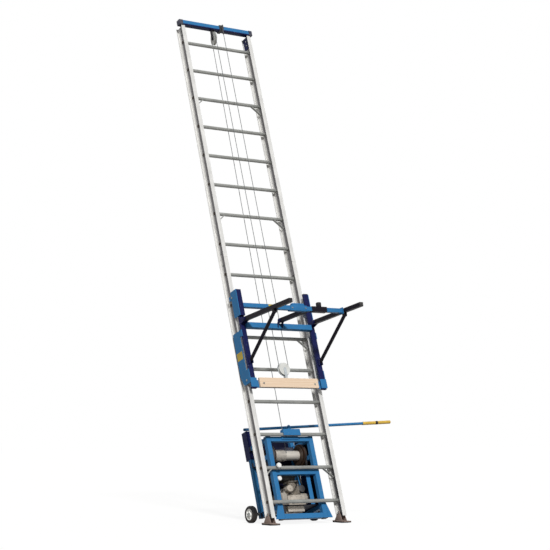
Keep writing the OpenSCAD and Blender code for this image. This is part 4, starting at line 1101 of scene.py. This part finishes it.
@dataclass
class Ropes:
    """The hoist rope: from the drum over the head sheave, round the carriage sheave and up to its anchor."""

    radius: float = 3.3
    lay: float = 42.0
    groove: float = 0.8
    wound_groove: float = 0.84
    step: float = 6.0
    arc: int = 32
    thin: float = 0.94
    front: float = 90.0
    car_r: float = 50.0
    car_z: float = 1309.0
    head_r: float = 59.0
    head_yaw: float = math.radians(14.6)
    head_z: float = 4770.0
    anchor_z: float = 4800.0
    drum_y: float = 190.0
    drum_z: float = 590.0
    wind_r: float = 48.3 / math.cos(math.radians(7.5))
    wind_x: float = -101.0
    wind_pitch: float = 6.6
    wind_steps: int = 40
    turns: int = 18
    travel: float = 2.5

    def straight(self, start: Vector, end: Vector) -> list[Vector]:
        """Returns evenly spaced points from one end to the other."""
        return evenly(start, end, max(2, round((end - start).length / self.step)))

    def laid(
        self, path: list[Vector], name: str, body: str, replaces: tuple[str, ...] = (), share: float = 1.0
    ) -> bpy.types.Object:
        """Lays one run of the rope.

        Args:
            path: Points that it follows.
            name: Name of the piece.
            body: Body that it moves with.
            replaces: Nodes of the model that it stands for.
            share: Share of the rope's radius.

        Returns:
            The new object.
        """
        shape = Shape()
        shape.swept(path, self.radius * share, 12, self.lay, self.groove)
        return shape.piece(name, body, ROPE, replaces=replaces)

    def falls(self) -> None:
        """Builds the two front falls, each as a line from the head and a line that follows the carriage."""
        for name, x, top in (("left", -self.car_r, self.head_z), ("right", self.car_r, self.anchor_z)):
            low, high = Vector((x, -self.front, self.car_z)), Vector((x, -self.front, top))
            line = self.laid(self.straight(low, high), f"rope_fall_{name}", "ladder", ("cable_falls",))
            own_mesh(line)
            path = self.straight(low, low.lerp(high, 0.95))
            line = self.laid(path, f"rope_fall_{name}_follower", "carriage", share=self.thin)
            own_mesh(line)

    def bight(self) -> None:
        """Builds the loop under the carriage sheave."""
        path = [
            Vector((self.car_r * math.cos(a), -self.front, self.car_z + self.car_r * math.sin(a)))
            for a in half_turn(math.pi, self.arc)]
        self.laid(path, "rope_bight", "carriage", ("cable_bight",))

    def back(self) -> None:
        """Builds the line over the head sheave and down behind the rungs to the drum."""
        away = Vector((math.sin(self.head_yaw), math.cos(self.head_yaw), 0.0)) * self.head_r
        rise = Vector(UP) * self.head_r
        middle = Vector((-self.car_r, -self.front, self.head_z)) + away
        path = [middle - away * math.cos(a) + rise * math.sin(a) for a in half_turn(0.0, self.arc)]
        end = Vector((
            self.wind_x + self.wind_pitch * self.turns, self.drum_y - self.wind_r,
            self.drum_z + 2 * self.radius))
        self.laid(path + self.straight(path[-1], end)[1:], "rope_return", "ladder", ("cable_return",))

    def winding(self) -> None:
        """Builds the rope that is wound on the drum, from its hold in the flange to where it leaves."""
        first = math.pi + 2 * math.pi * self.turns
        places = [(-115.0, first + 0.26), (-109.0, first + 0.26), (-103.0, first + 0.13)]
        for i in range(self.turns * self.wind_steps + 1):
            turn = i / self.wind_steps
            places.append((self.wind_x + self.wind_pitch * turn, first - 2 * math.pi * turn))
        path = [
            Vector((x, self.drum_y + self.wind_r * math.cos(a), self.drum_z + self.wind_r * math.sin(a)))
            for x, a in places]
        path.append(path[-1] + Vector(UP) * 2 * self.radius)
        shape = Shape()
        shape.swept(path, self.radius, 10, self.lay, self.wound_groove)
        shape.piece("rope_winding", "drum", WOUND, replaces=("drum_cable",))

    def build(self) -> None:
        """Builds every run of the rope."""
        self.falls()
        self.bight()
        self.back()
        self.winding()


@dataclass
class Carriage:
    """Studs, bolts, post caps and plain tape of the carriage."""

    half: float = 376.0
    post: float = 50.0
    post_front: float = -125.0
    post_back: float = -100.0
    top: float = 2040.0
    cap: float = 5.0
    cap_wall: float = 4.0
    cap_depth: float = 20.0
    roller_y: float = -72.3
    roller_z: tuple[float, float] = (1200.0, 1985.0)
    stud_in: float = 15.3
    plate_out: float = 407.0
    bolt_x: float = 275.0
    bolt_z: float = 1155.0
    board_front: float = -130.0
    tube_front: float = -145.0
    tape_t: float = 0.5

    def bolts(self) -> None:
        """Builds the roller studs and the bolts of the board."""
        shape = Shape()
        inner, outer = self.half - self.stud_in, self.plate_out
        stud = (
            (inner, outer, 6.0, 0.5, 24), (inner - 3.0, inner, 10.0, 0.6, 28),
            (outer - 15.7, outer - 6.0, 10.0, 0.6, 28), (outer, outer + 1.5, 10.0, 0.4, 28),
            (outer + 1.5, outer + 6.0, 8.4, 0.8, 6))
        for side in SIDES:
            for z, (near, far, radius, edge, sides) in product(self.roller_z, stud):
                shape.rod((side * near, self.roller_y, z), (side * far, self.roller_y, z), radius, edge, sides)
            x = side * self.bolt_x
            shape.hex_bolt((x, self.post_back, self.bolt_z), (x, self.board_front, self.bolt_z), 5.0)
        shape.piece("carriage_fasteners", "carriage", ZINC, replaces=("carriage_bolts",))

    def caps(self) -> None:
        """Builds the plastic caps on top of the posts."""
        shape = Shape()
        for side in SIDES:
            left, right = side * self.half - self.post / 2, side * self.half + self.post / 2
            wall = self.cap_wall
            shape.boxes((
                ((left, self.post_front, self.top), (right, self.post_back, self.top + self.cap), 2.0),
                ((left + wall, self.post_front + wall, self.top - self.cap_depth),
                 (right - wall, self.post_back - wall, self.top + 1.0), 1.0)))
        shape.piece("carriage_post_caps", "carriage", PLASTIC)

    def tape(self) -> None:
        """Lays the two plain strips of tape, one on the upper cross tube and one on the left side plate."""
        shape = Shape()
        shape.plate(
            soft_corners((-77.0, 1877.0), (-11.0, 1910.0), 2.0), self.tape_t, front_plane(self.tube_front))
        shape.plate(
            soft_corners((-76.0, 1402.0), (14.0, 1474.0), 3.0), self.tape_t,
            side_plane(-self.plate_out - self.tape_t))
        shape.piece("carriage_tapes", "carriage", TAPE)

    def build(self) -> None:
        """Builds the carriage's pieces."""
        self.bolts()
        self.caps()
        self.tape()


@dataclass
class Platform:
    """End caps of the arms, the saddle on the cross tube and the ribbed knob of the cleat."""

    hinge: Point = (0.0, -185.0, 1740.0)
    drop: float = math.radians(9.3)
    half: float = 376.0
    arm: float = 38.0
    length: float = 706.0
    cap: float = 5.0
    cross_at: float = 437.0
    saddle_x: tuple[float, float] = (-208.0, -32.0)
    saddle_t: float = 6.0
    saddle_rise: float = 20.0
    knob_x: float = 111.0
    knob_low: float = 24.0
    knob_r: float = 22.0
    knob_h: float = 40.0
    knob_ribs: int = 14
    knob_top: Profile = ((0.0, 0.0), (0.0, 17.0), (2.0, 15.5), (2.6, 6.0), (2.0, 0.0))

    def spot(self) -> Matrix:
        """Returns the frame of the arms, which reach along its -y."""
        return LADDER @ turned_at(self.hinge, self.drop)

    def saddle(self) -> None:
        """Builds the clamped saddle on the cross tube, beside the centre arm, with its bolts."""
        low, high = self.saddle_x
        reach = self.arm / 2
        wide = reach + self.saddle_t
        shape = Shape()
        shape.boxes((
            ((low, -self.cross_at - wide, -wide), (high, wide - self.cross_at, wide), 2.5),
            ((low + wide, -self.cross_at - reach, wide - 1.0),
             (high - wide, reach - self.cross_at, wide + self.saddle_rise), 5.0)))
        shape.piece("platform_saddle", "platform", BLUE, self.spot())
        shape = Shape()
        for x in (low + reach, high - reach):
            shape.hex_bolt((x, wide - self.cross_at, 0.0), (x, -self.cross_at - wide, 0.0), 4.0, 7.0, 5.0)
        shape.piece("platform_saddle_bolts", "platform", ZINC, self.spot())

    def caps(self) -> None:
        """Builds the caps on the tips of the side arms."""
        shape = Shape()
        reach = self.arm / 2
        for side in SIDES:
            x = side * self.half
            shape.box((x - reach, -self.length - self.cap, -reach), (x + reach, -self.length, reach), 2.0)
        shape.piece("arm_tip_caps", "platform", PLASTIC, self.spot())

    def knob(self) -> None:
        """Builds the ribs and the dished top of the cleat's knob."""
        shape = Shape()
        low = (self.knob_x, -self.cross_at, self.knob_low + 3.0)
        places = round_about(low, self.knob_r, self.knob_ribs, Axis.Z)
        shape.rods(places, (0.0, 0.0, self.knob_h - 6.0), 2.2, 1.0, 12)
        shape.turned(self.knob_top, (self.knob_x, -self.cross_at, self.knob_low + self.knob_h), UP, steps=32)
        shape.piece("cleat_knob_ribs", "platform", PLASTIC, self.spot())

    def build(self) -> None:
        """Builds the platform's pieces."""
        self.saddle()
        self.caps()
        self.knob()


@dataclass
class Engine:
    """Housings and fittings of the engine."""

    y: float = 190.0
    shaft_z: float = 188.0
    case_x: float = -70.0
    fan: Profile = (
        (0.0, 0.0), (0.0, 58.0), (7.0, 58.0), (8.5, 66.0), (8.5, 74.0), (12.0, 78.0), (34.0, 78.0),
        (35.0, 77.0), (37.0, 77.0), (38.0, 78.0), (52.0, 78.0), (58.0, 75.5), (61.5, 69.0), (62.0, 60.0),
        (64.0, 58.0), (73.0, 57.5), (76.5, 55.5), (78.0, 51.0), (78.0, 46.0), (75.0, 44.0), (75.0, 20.0),
        (78.0, 18.0), (78.0, 0.0))
    spokes: int = 20
    fan_bolt_x: float = -131.0
    fan_bolt_r: float = 66.0
    pull: Point = (-122.0, 104.0, 252.0)
    pull_root: Point = (-122.0, 124.0, 238.0)
    pull_end: Profile = ((0.0, 0.0), (0.5, 4.5), (3.0, 6.6), (12.0, 6.2))
    pull_len: float = 44.0
    pull_r: float = 7.0
    # Body, seam and two saddle straps of the tank.
    tank_boxes: Boxes = (
        ((-165.0, 130.0, 345.0), (60.0, 250.0, 415.0), 18.0),
        ((-168.0, 127.0, 376.0), (63.0, 253.0, 380.0), 1.6),
        ((-127.0, 128.6, 344.0), (-109.0, 251.4, 416.4), 2.0),
        ((1.0, 128.6, 344.0), (19.0, 251.4, 416.4), 2.0))
    cap_x: float = -58.0
    neck_z: float = 413.0
    neck: Profile = ((0.0, 0.0), (0.0, 21.0), (5.0, 20.0), (9.0, 15.0), (66.0, 15.0), (66.0, 0.0))
    cap_z: float = 479.0
    cap: Profile = ((0.0, 0.0), (0.0, 21.0), (26.0, 22.0), (30.0, 20.0), (31.5, 14.0), (32.0, 0.0))
    cap_ribs: int = 18
    cap_rib_r: float = 21.2
    tap_root: Point = (-146.0, 134.0, 356.0)
    tap: Point = (-176.0, 60.0, 337.0)
    tap_knob: Profile = (
        (0.0, 0.0), (0.0, 9.0), (4.0, 12.0), (6.0, 22.0), (20.0, 22.0), (26.0, 19.0), (28.0, 0.0))
    muffler: Point = (115.0, 140.0, 273.0)
    muffler_len: float = 100.0
    muffler_end: Profile = (
        (0.0, 0.0), (1.0, 20.0), (4.0, 28.0), (5.0, 32.0), (8.0, 32.0), (9.0, 30.4), (46.0, 30.4), (47.0, 31.4))
    outlet: Profile = ((0.0, 7.0), (0.0, 9.0), (22.0, 9.0), (22.0, 7.0))
    muffler_bolts: BoltHeads = BoltHeads((81.0,), (165.0, 215.0), (267.0,), (10.0, 0.0, 0.0), 9.0, 0.8)
    # Carburettor body and gasket face of the crankcase.
    casting_boxes: Boxes = (
        ((-62.0, 158.0, 246.0), (-22.0, 184.0, 284.0), 4.0), ((-40.0, 116.0, 130.0), (80.0, 121.0, 205.0), 2.2))
    # Float bowl and inlet pipe.
    casting_rods: tuple[tuple[Point, Point, float, float], ...] = (
        ((-42.0, 171.0, 246.0), (-42.0, 171.0, 224.0), 15.0, 2.5),
        ((-30.0, 186.0, 264.0), (3.0, 190.0, 264.0), 13.0, 1.0))
    throttle: tuple[Point, Point] = ((-66.0, 171.0, 276.0), (-18.0, 171.0, 276.0))
    case_bolts: tuple[BoltHeads, ...] = (
        BoltHeads((-50.0, 90.0), (138.0, 242.0), (215.5,), (0.0, 0.0, 4.5), 6.5),
        BoltHeads((-30.0, 20.0, 70.0), (117.0,), (139.0, 196.0), (0.0, -5.5, 0.0), 5.5, 0.8),
        BoltHeads((3.0, 67.0), (158.0, 222.0), (344.5,), (0.0, 0.0, 6.5), 6.5))
    oil_at: Point = (92.0, 128.0, 142.0)
    oil_cap: Profile = (
        (0.0, 0.0), (0.0, 10.0), (6.0, 10.0), (7.0, 15.0), (15.0, 15.0), (17.0, 12.0), (17.0, 0.0))
    spark_at: Point = (50.0, 142.5, 322.0)
    spark_boot: Profile = (
        (0.0, 0.0), (0.0, 8.0), (18.0, 8.0), (22.0, 9.5), (34.0, 9.0), (38.0, 6.0), (38.0, 0.0))
    lead: tuple[Point, ...] = (
        (50, 108, 322), (48, 100, 318), (40, 92, 304), (22, 88, 284), (2, 88, 262), (-16, 92, 240),
        (-34, 100, 222), (-52, 112, 212), (-70, 124, 208), (-86, 130, 210))
    lead_r: float = 3.5
    # Top and two sides of the channel.
    channel_boxes: Boxes = (
        ((-120.0, 78.0, 96.0), (52.0, 118.0, 99.5), 1.2), ((-120.0, 78.0, 46.0), (52.0, 81.5, 99.5), 1.2),
        ((-120.0, 114.5, 46.0), (52.0, 118.0, 99.5), 1.2))
    channel_bolts: BoltHeads = BoltHeads((-90.0, -34.0, 22.0), (79.0,), (72.0,), (0.0, -4.5, 0.0), 7.0)

    def blower(self) -> None:
        """Builds the fan housing with its starter, grille and pull handle."""
        shape = Shape()
        start = (self.case_x, self.y, self.shaft_z)
        shape.turned(self.fan, start, LEFT, steps=64)
        for angle in ring_of(self.spokes):
            shape.box((-77.6, -1.8, 19.0), (-74.0, 1.8, 46.0), 0.7, turned_at(start, angle))
        middle = (self.fan_bolt_x, self.y, self.shaft_z)
        shape.rods(round_about(middle, self.fan_bolt_r, 4, Axis.X, 0.6), (-4.5, 0.0, 0.0), 5.0, 0.8)
        shape.piece("fan_housing", "ladder", GREY, replaces=("blower_housing",))
        shape = Shape()
        x, y, z = self.pull
        half = self.pull_len / 2
        shape.turned(
            mirrored(self.pull_end, self.pull_len, ((half, self.pull_r),)), (x - half, y, z), RIGHT, steps=24)
        shape.rod(self.pull, self.pull_root, 4.5, 0.8, 20, 7.5)
        shape.piece("starter_handle", "ladder", PLASTIC)

    def tank(self) -> None:
        """Builds the fuel tank with its seam and saddle straps, its white cap and its tap."""
        shape = Shape()
        shape.boxes(self.tank_boxes)
        shape.turned(self.neck, (self.cap_x, self.y, self.neck_z), UP)
        shape.piece("engine_tank", "ladder", PLASTIC, replaces=("fuel_tank",))
        shape = Shape()
        shape.turned(self.cap, (self.cap_x, self.y, self.cap_z), UP)
        low = (self.cap_x, self.y, self.cap_z + 3.0)
        shape.rods(round_about(low, self.cap_rib_r, self.cap_ribs, Axis.Z), (0.0, 0.0, 22.0), 1.8, 0.7, 10)
        shape.rod(self.tap_root, Vector(self.tap) + Vector(FRONT) * 2, 6.0, 0.8)
        shape.turned(self.tap_knob, self.tap, FRONT, steps=36)
        shape.piece("tank_cap", "ladder", HUB)

    def exhaust(self) -> None:
        """Builds the muffler with rolled seams, bands and an outlet."""
        shape = Shape()
        shape.turned(mirrored(self.muffler_end, self.muffler_len), self.muffler, BACK, steps=56)
        x, y, z = self.muffler
        shape.turned(self.outlet, (x, y + 86.0, z + 26.0), (0.35, 0.0, 0.94), True, 28)
        self.muffler_bolts.add(shape)
        shape.piece("exhaust_muffler", "ladder", IRON, replaces=("muffler",))

    def fittings(self) -> None:
        """Builds the carburettor, the cover bolts, the oil cap, the spark plug's boot and its lead."""
        shape = Shape()
        shape.boxes(self.casting_boxes)
        for start, end, radius, edge in self.casting_rods:
            shape.rod(start, end, radius, edge)
        shape.rod(*self.throttle, 4.0, 0.6, 16)
        for heads in self.case_bolts:
            heads.add(shape)
        shape.piece("engine_castings", "ladder", CASTING)
        shape = Shape()
        shape.turned(self.oil_cap, self.oil_at, (0.0, -1.0, 0.35), steps=32)
        shape.turned(self.spark_boot, self.spark_at, FRONT, steps=28)
        shape.swept([Vector(p) for p in self.lead], self.lead_r)
        shape.piece("engine_ignition", "ladder", RUBBER)

    def channel(self) -> None:
        """Builds the pressed channel under the deck that takes the engine's bolts."""
        shape = Shape()
        shape.boxes(self.channel_boxes)
        self.channel_bolts.add(shape)
        shape.piece("engine_mount_channel", "ladder", CASTING)

    def build(self) -> None:
        """Builds the engine's pieces."""
        self.channel()
        self.blower()
        self.tank()
        self.exhaust()
        self.fittings()


@dataclass
class UnitFrame:
    """Clamp, tube caps, weld beads and sheet details of the power unit's frame."""

    half: float = 250.0
    post: float = 45.0
    front: float = 25.0
    low: float = -30.0
    top: float = 715.0
    rear_front: float = 320.0
    rear_back: float = 360.0
    rear_post: float = 40.0
    rear_low: float = 70.0
    cap: float = 4.0
    front_rails: tuple[float, ...] = (-30.0, 366.0, 670.0)
    side_rails: tuple[float, ...] = (60.0, 520.0, 670.0)
    knob: Point = (-211.0, -20.0, 431.0)
    knob_r: float = 23.0
    knob_ribs: int = 12
    louvre_x: tuple[float, float] = (-150.0, 60.0)
    louvre_y: float = 361.6
    louvre_z: float = 300.0
    louvre_pitch: float = 34.0
    louvres: int = 9
    louvre_tilt: float = math.radians(-24)
    screws: tuple[BoltHeads, ...] = (
        BoltHeads(
            (-195.0, 20.0, 236.0), (362.0,), (95.0, 250.0, 400.0, 550.0, 695.0), (0.0, 3.0, 0.0), 6.5, 1.4, 20),
        BoltHeads((252.0,), (46.0, 180.0, 306.0), (75.0, 380.0, 695.0), (3.0, 0.0, 0.0), 6.5, 1.4, 20))

    def clamp(self) -> None:
        """Builds the white knob whose stud draws the left post against a rung, with its washer plate."""
        x, y, z = self.knob
        shape = Shape()
        profile = (
            (0.0, 0.0), (0.0, 13.0), (5.0, 14.0), (8.0, self.knob_r - 1.0), (20.0, self.knob_r), (26.0, 19.0),
            (28.0, 0.0))
        shape.turned(profile, self.knob, FRONT, steps=36)
        places = round_about((x, y - 10.0, z), self.knob_r, self.knob_ribs, Axis.Y)
        shape.rods(places, (0.0, -9.0, 0.0), 1.8, 0.7, 10)
        shape.piece("clamp_knob", "ladder", HUB)
        shape = Shape()
        shape.rod((x, self.front + 1.0, z), self.knob, 5.0, 0.5, 20)
        shape.box((x - 17.0, y, z - 26.0), (x + 17.0, y + 3.5, z + 12.0), 1.0)
        shape.piece("clamp_stud", "ladder", ZINC)

    def caps(self) -> None:
        """Builds the plastic caps in the open ends of the posts."""
        shape = Shape()
        ends = (
            (self.post, self.front, self.front + self.post, self.top),
            (self.post, self.front, self.front + self.post, self.low - self.cap),
            (self.rear_post, self.rear_front, self.rear_back, self.rear_low - self.cap))
        for side, (wide, y0, y1, z) in product(SIDES, ends):
            shape.box((side * self.half, y0, z), (side * (self.half - wide), y1, z + self.cap), 1.8)
        shape.piece("frame_tube_caps", "ladder", PLASTIC)

    def welds(self) -> None:
        """Builds the weld beads where rails meet posts."""
        shape = Shape()
        back = self.front + self.post
        for side in SIDES:
            x = side * (self.half - self.post)
            for z, y in product(self.front_rails, (self.front + 0.8, back - 0.8)):
                shape.bead((x, y, z), (x, y, z + self.post), 2.6, 14)
            x = side * (self.half - 1.0)
            for z, y in product(self.side_rails, (back + 0.4, self.rear_front - 0.4)):
                shape.bead((x, y, z), (x, y, z + self.rear_post), 2.2, 12)
        shape.piece("frame_welds", "ladder", BLUE)

    def sheets(self) -> None:
        """Builds the louvres and screws of the back sheet and the screws of the side sheet."""
        shape = Shape()
        for x, row in product(self.louvre_x, range(self.louvres)):
            spot = turned_at((0.0, self.louvre_y, self.louvre_z + self.louvre_pitch * row), self.louvre_tilt)
            shape.box((x, -2.0, -7.0), (x + 150.0, 7.0, 7.0), 2.4, spot)
        shape.piece("back_louvres", "ladder", SHEET)
        shape = Shape()
        for heads in self.screws:
            heads.add(shape)
        shape.piece("sheet_screws", "ladder", ZINC)

    def build(self) -> None:
        """Builds the frame's pieces."""
        self.clamp()
        self.caps()
        self.welds()
        self.sheets()


@dataclass
class Lever:
    """Grip of the control lever, its return spring and the rod that pulls the spring."""

    pivot: Point = (230.0, 340.0, 907.0)
    tilt: float = math.radians(2.8)
    right: float = 1195.0
    grip: float = 330.0
    tube_r: float = 13.1
    grip_r: float = 16.0
    band: float = 26.0
    rib_pitch: float = 12.0
    rib_start: float = 8.0
    post_x: float = -230.0
    post_y: float = 340.0
    spring_low: float = 607.0
    spring_high: float = 848.0
    rod_top: float = 873.0
    rod_len: float = 120.0
    rod_lean: float = 5.0
    nut: Profile = ((0.0, 0.0), (0.0, 5.5), (5.0, 5.5), (5.0, 0.0))
    nut_drop: float = 7.0
    coil_r: float = 10.0
    wire_r: float = 1.5
    coils: int = 14
    coil_steps: int = 20

    def handle(self) -> None:
        """Builds the ribbed grip with the dark band at its middle."""
        spot = LADDER @ turned_at(self.pivot, -self.tilt, Axis.Y)
        r = self.grip_r
        length = (self.grip - self.band) / 2
        ribs = []
        for i in range(int((length - 2 * self.rib_start) / self.rib_pitch)):
            at = self.rib_start + self.rib_pitch * i
            ribs += [(at, r), (at + 1.2, r - 1.0), (at + 4.0, r - 1.0), (at + 5.2, r)]
        half = mirrored(((0.0, self.tube_r), (0.0, r - 0.8), (0.8, r)), length, tuple(ribs))
        start = self.right - self.grip
        shape = Shape()
        for x in (start, self.right - length):
            shape.turned(half, (x, 0.0, 0.0), RIGHT, True, 40)
        end = ((-1.0, 0.0), (-1.0, r - 0.4), (1.4, r - 0.4), (2.6, r - 2.4), (3.0, 0.0))
        shape.turned(end, (self.right, 0.0, 0.0), RIGHT, steps=40)
        shape.piece("lever_hand_grip", "lever", VINYL, spot, ("lever_grip",))
        band = mirrored(((0.0, self.tube_r), (0.0, r + 0.3), (1.0, r + 0.8)), self.band)
        shape = Shape()
        shape.turned(band, (start + length, 0.0, 0.0), RIGHT, True, 40)
        shape.piece("lever_grip_band", "lever", RUBBER, spot)

    def spring(self) -> None:
        """Builds the return spring and its rod.

        The rod leans so that it clears the spring's housing.
        """
        x, y = self.post_x, self.post_y
        count = self.coils * self.coil_steps
        path = [Vector((x, y, self.spring_low - 5.0))]
        for i in range(count + 1):
            angle = 2 * math.pi * i / self.coil_steps
            out = self.coil_r * min(1.0, i / self.coil_steps, (count - i) / self.coil_steps)
            z = self.spring_low + (self.spring_high - self.spring_low) * i / count
            path.append(Vector((x + out * math.cos(angle), y + out * math.sin(angle), z)))
        path.append(Vector((x, y, self.rod_top - 3.0)))
        shape = Shape()
        shape.swept(path, self.wire_r, 8)
        coil = shape.piece("lever_spring", "ladder", ZINC, replaces=("return_spring",))
        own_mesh(coil)
        shape = Shape()
        shape.rod((x + self.rod_lean, y, self.rod_top - self.rod_len), (x, y, self.rod_top), 3.0, 0.6, 16)
        shape.turned(self.nut, (x, y, self.rod_top - self.nut_drop), UP, steps=6)
        shape.piece("lever_pull_rod", "lever", ZINC)

    def build(self) -> None:
        """Builds the lever's pieces."""
        self.handle()
        self.spring()


@dataclass
class Wheel:
    """One transport wheel: treaded tyre, spoked white hub and dark centre."""

    body: str
    middle: float
    y: float = 340.0
    z: float = 104.5
    width: float = 50.0
    radius: float = 75.0
    grooves: tuple[float, ...] = (14.0, 25.0, 36.0)
    rim: float = 49.0
    boss: float = 22.0
    bore: float = 10.05
    spokes: int = 6

    def build(self) -> None:
        """Builds the tyre, the hub and the hub's centre."""
        start = (self.middle - self.width / 2, self.y, self.z)
        r, rim, boss, bore, w = self.radius, self.rim, self.boss, self.bore, self.width
        tread = []
        for groove in self.grooves:
            tread += [(groove - 2.4, r), (groove - 1.4, r - 3.0), (groove + 1.4, r - 3.0), (groove + 2.4, r)]
        wall = ((6.0, rim), (2.0, rim + 3), (0.5, rim + 9), (0.5, r - 13), (3.0, r - 5), (8.0, r - 1.2))
        shape = Shape()
        shape.turned(mirrored(wall, w, tuple(tread)), start, RIGHT, True, 72)
        shape.piece(f"{self.body}_tyre", self.body, TYRE, replaces=(self.body,))
        dish = (
            (4.0, rim + 0.2), (4.0, rim - 3), (14.0, rim - 6), (19.0, boss + 3), (3.0, boss), (0.0, boss - 2),
            (0.0, bore))
        shape = Shape()
        shape.turned(mirrored(dish, w), start, RIGHT, True, 64)
        for angle in ring_of(self.spokes):
            shape.box((6.0, -2.5, boss - 1), (w - 6.0, 2.5, rim - 2), 1.0, turned_at(start, angle))
        shape.piece(f"{self.body}_hub", self.body, HUB)
        bush = ((-0.4, bore + 5.4), (0.6, bore + 6.0), (2.0, bore + 6.0), (2.0, bore), (-0.4, bore))
        shape = Shape()
        for face, way in ((0.0, RIGHT), (w, LEFT)):
            shape.turned(bush, (start[0] + face, self.y, self.z), way, True, 40)
        shape.piece(f"{self.body}_bushes", self.body, PLASTIC)


@dataclass
class Foot:
    """One swivel foot: ribbed rubber pad, sole and two cheeks."""

    body: str
    middle: float
    back: float = 85.0
    ahead: float = 105.0
    behind: float = 75.0
    width: float = 80.0
    corner: float = 9.0
    pad: float = 12.0
    tread: float = 4.0
    ribs: int = 9
    rib_pitch: float = 20.0
    sole: float = 6.0
    cheek: float = 21.0
    cheek_t: float = 5.0
    cheek_foot: float = 58.0
    cheek_top: float = 16.0
    pivot: float = 85.0
    bolt_r: float = 6.05
    peg_r: float = 7.0

    def build(self) -> None:
        """Builds the pad and the shoe."""
        spot = turned_at((self.middle, self.back, 0.0))
        reach = self.width / 2
        outline = soft_corners((-reach, -self.ahead), (reach, self.behind), self.corner)
        peg = ((0.0, -self.back, self.peg_r),)
        shape = Shape()
        shape.plate(outline, self.pad - self.tread, turned_at((0.0, 0.0, self.tread)), peg, 1.2)
        for i in range(self.ribs):
            y = -self.ahead + 9.0 + self.rib_pitch * i
            if abs(y + self.back) > 2 * self.peg_r:
                shape.box((-reach + 3, y - 5.5, 0.0), (reach - 3, y + 5.5, self.tread + 1.0), 1.4)
        shape.piece(f"{self.body}_pad", self.body, RUBBER, spot, (self.body,))
        shape = Shape()
        shape.plate(outline, self.sole, turned_at((0.0, 0.0, self.pad)), peg, 1.0)
        top = self.pad + self.sole
        cheek = (
            (-self.cheek_foot, top - 1.0), (self.cheek_foot, top - 1.0),
            *((self.cheek_top * math.cos(a), self.pivot + self.cheek_top * math.sin(a))
              for a in half_turn(0.0, 14)))
        for x in (-self.cheek - self.cheek_t, self.cheek):
            shape.plate(cheek, self.cheek_t, side_plane(x), ((0.0, self.pivot, self.bolt_r),), 0.8)
            for face in (x, x + self.cheek_t):
                shape.bead((face, -self.cheek_foot, top + 0.6), (face, self.cheek_foot, top + 0.6), 2.4, 24)
        shape.piece(f"{self.body}_shoe", self.body, SHOE, spot)


def main() -> None:
    """Builds the studio, coats the model and builds every piece."""
    logging.basicConfig(level=logging.INFO, format="%(name)s: %(message)s")
    for each in (
        Studio(), Coating(), Ladder(), Head(), Ropes(), Carriage(), Platform(), Engine(), UnitFrame(), Lever(),
        Wheel("left_wheel", -336.0), Foot("left_foot", -376.0),
        Wheel("right_wheel", 336.0), Foot("right_foot", 376.0),
    ):
        each.build()


if __name__ == "__main__":
    main()
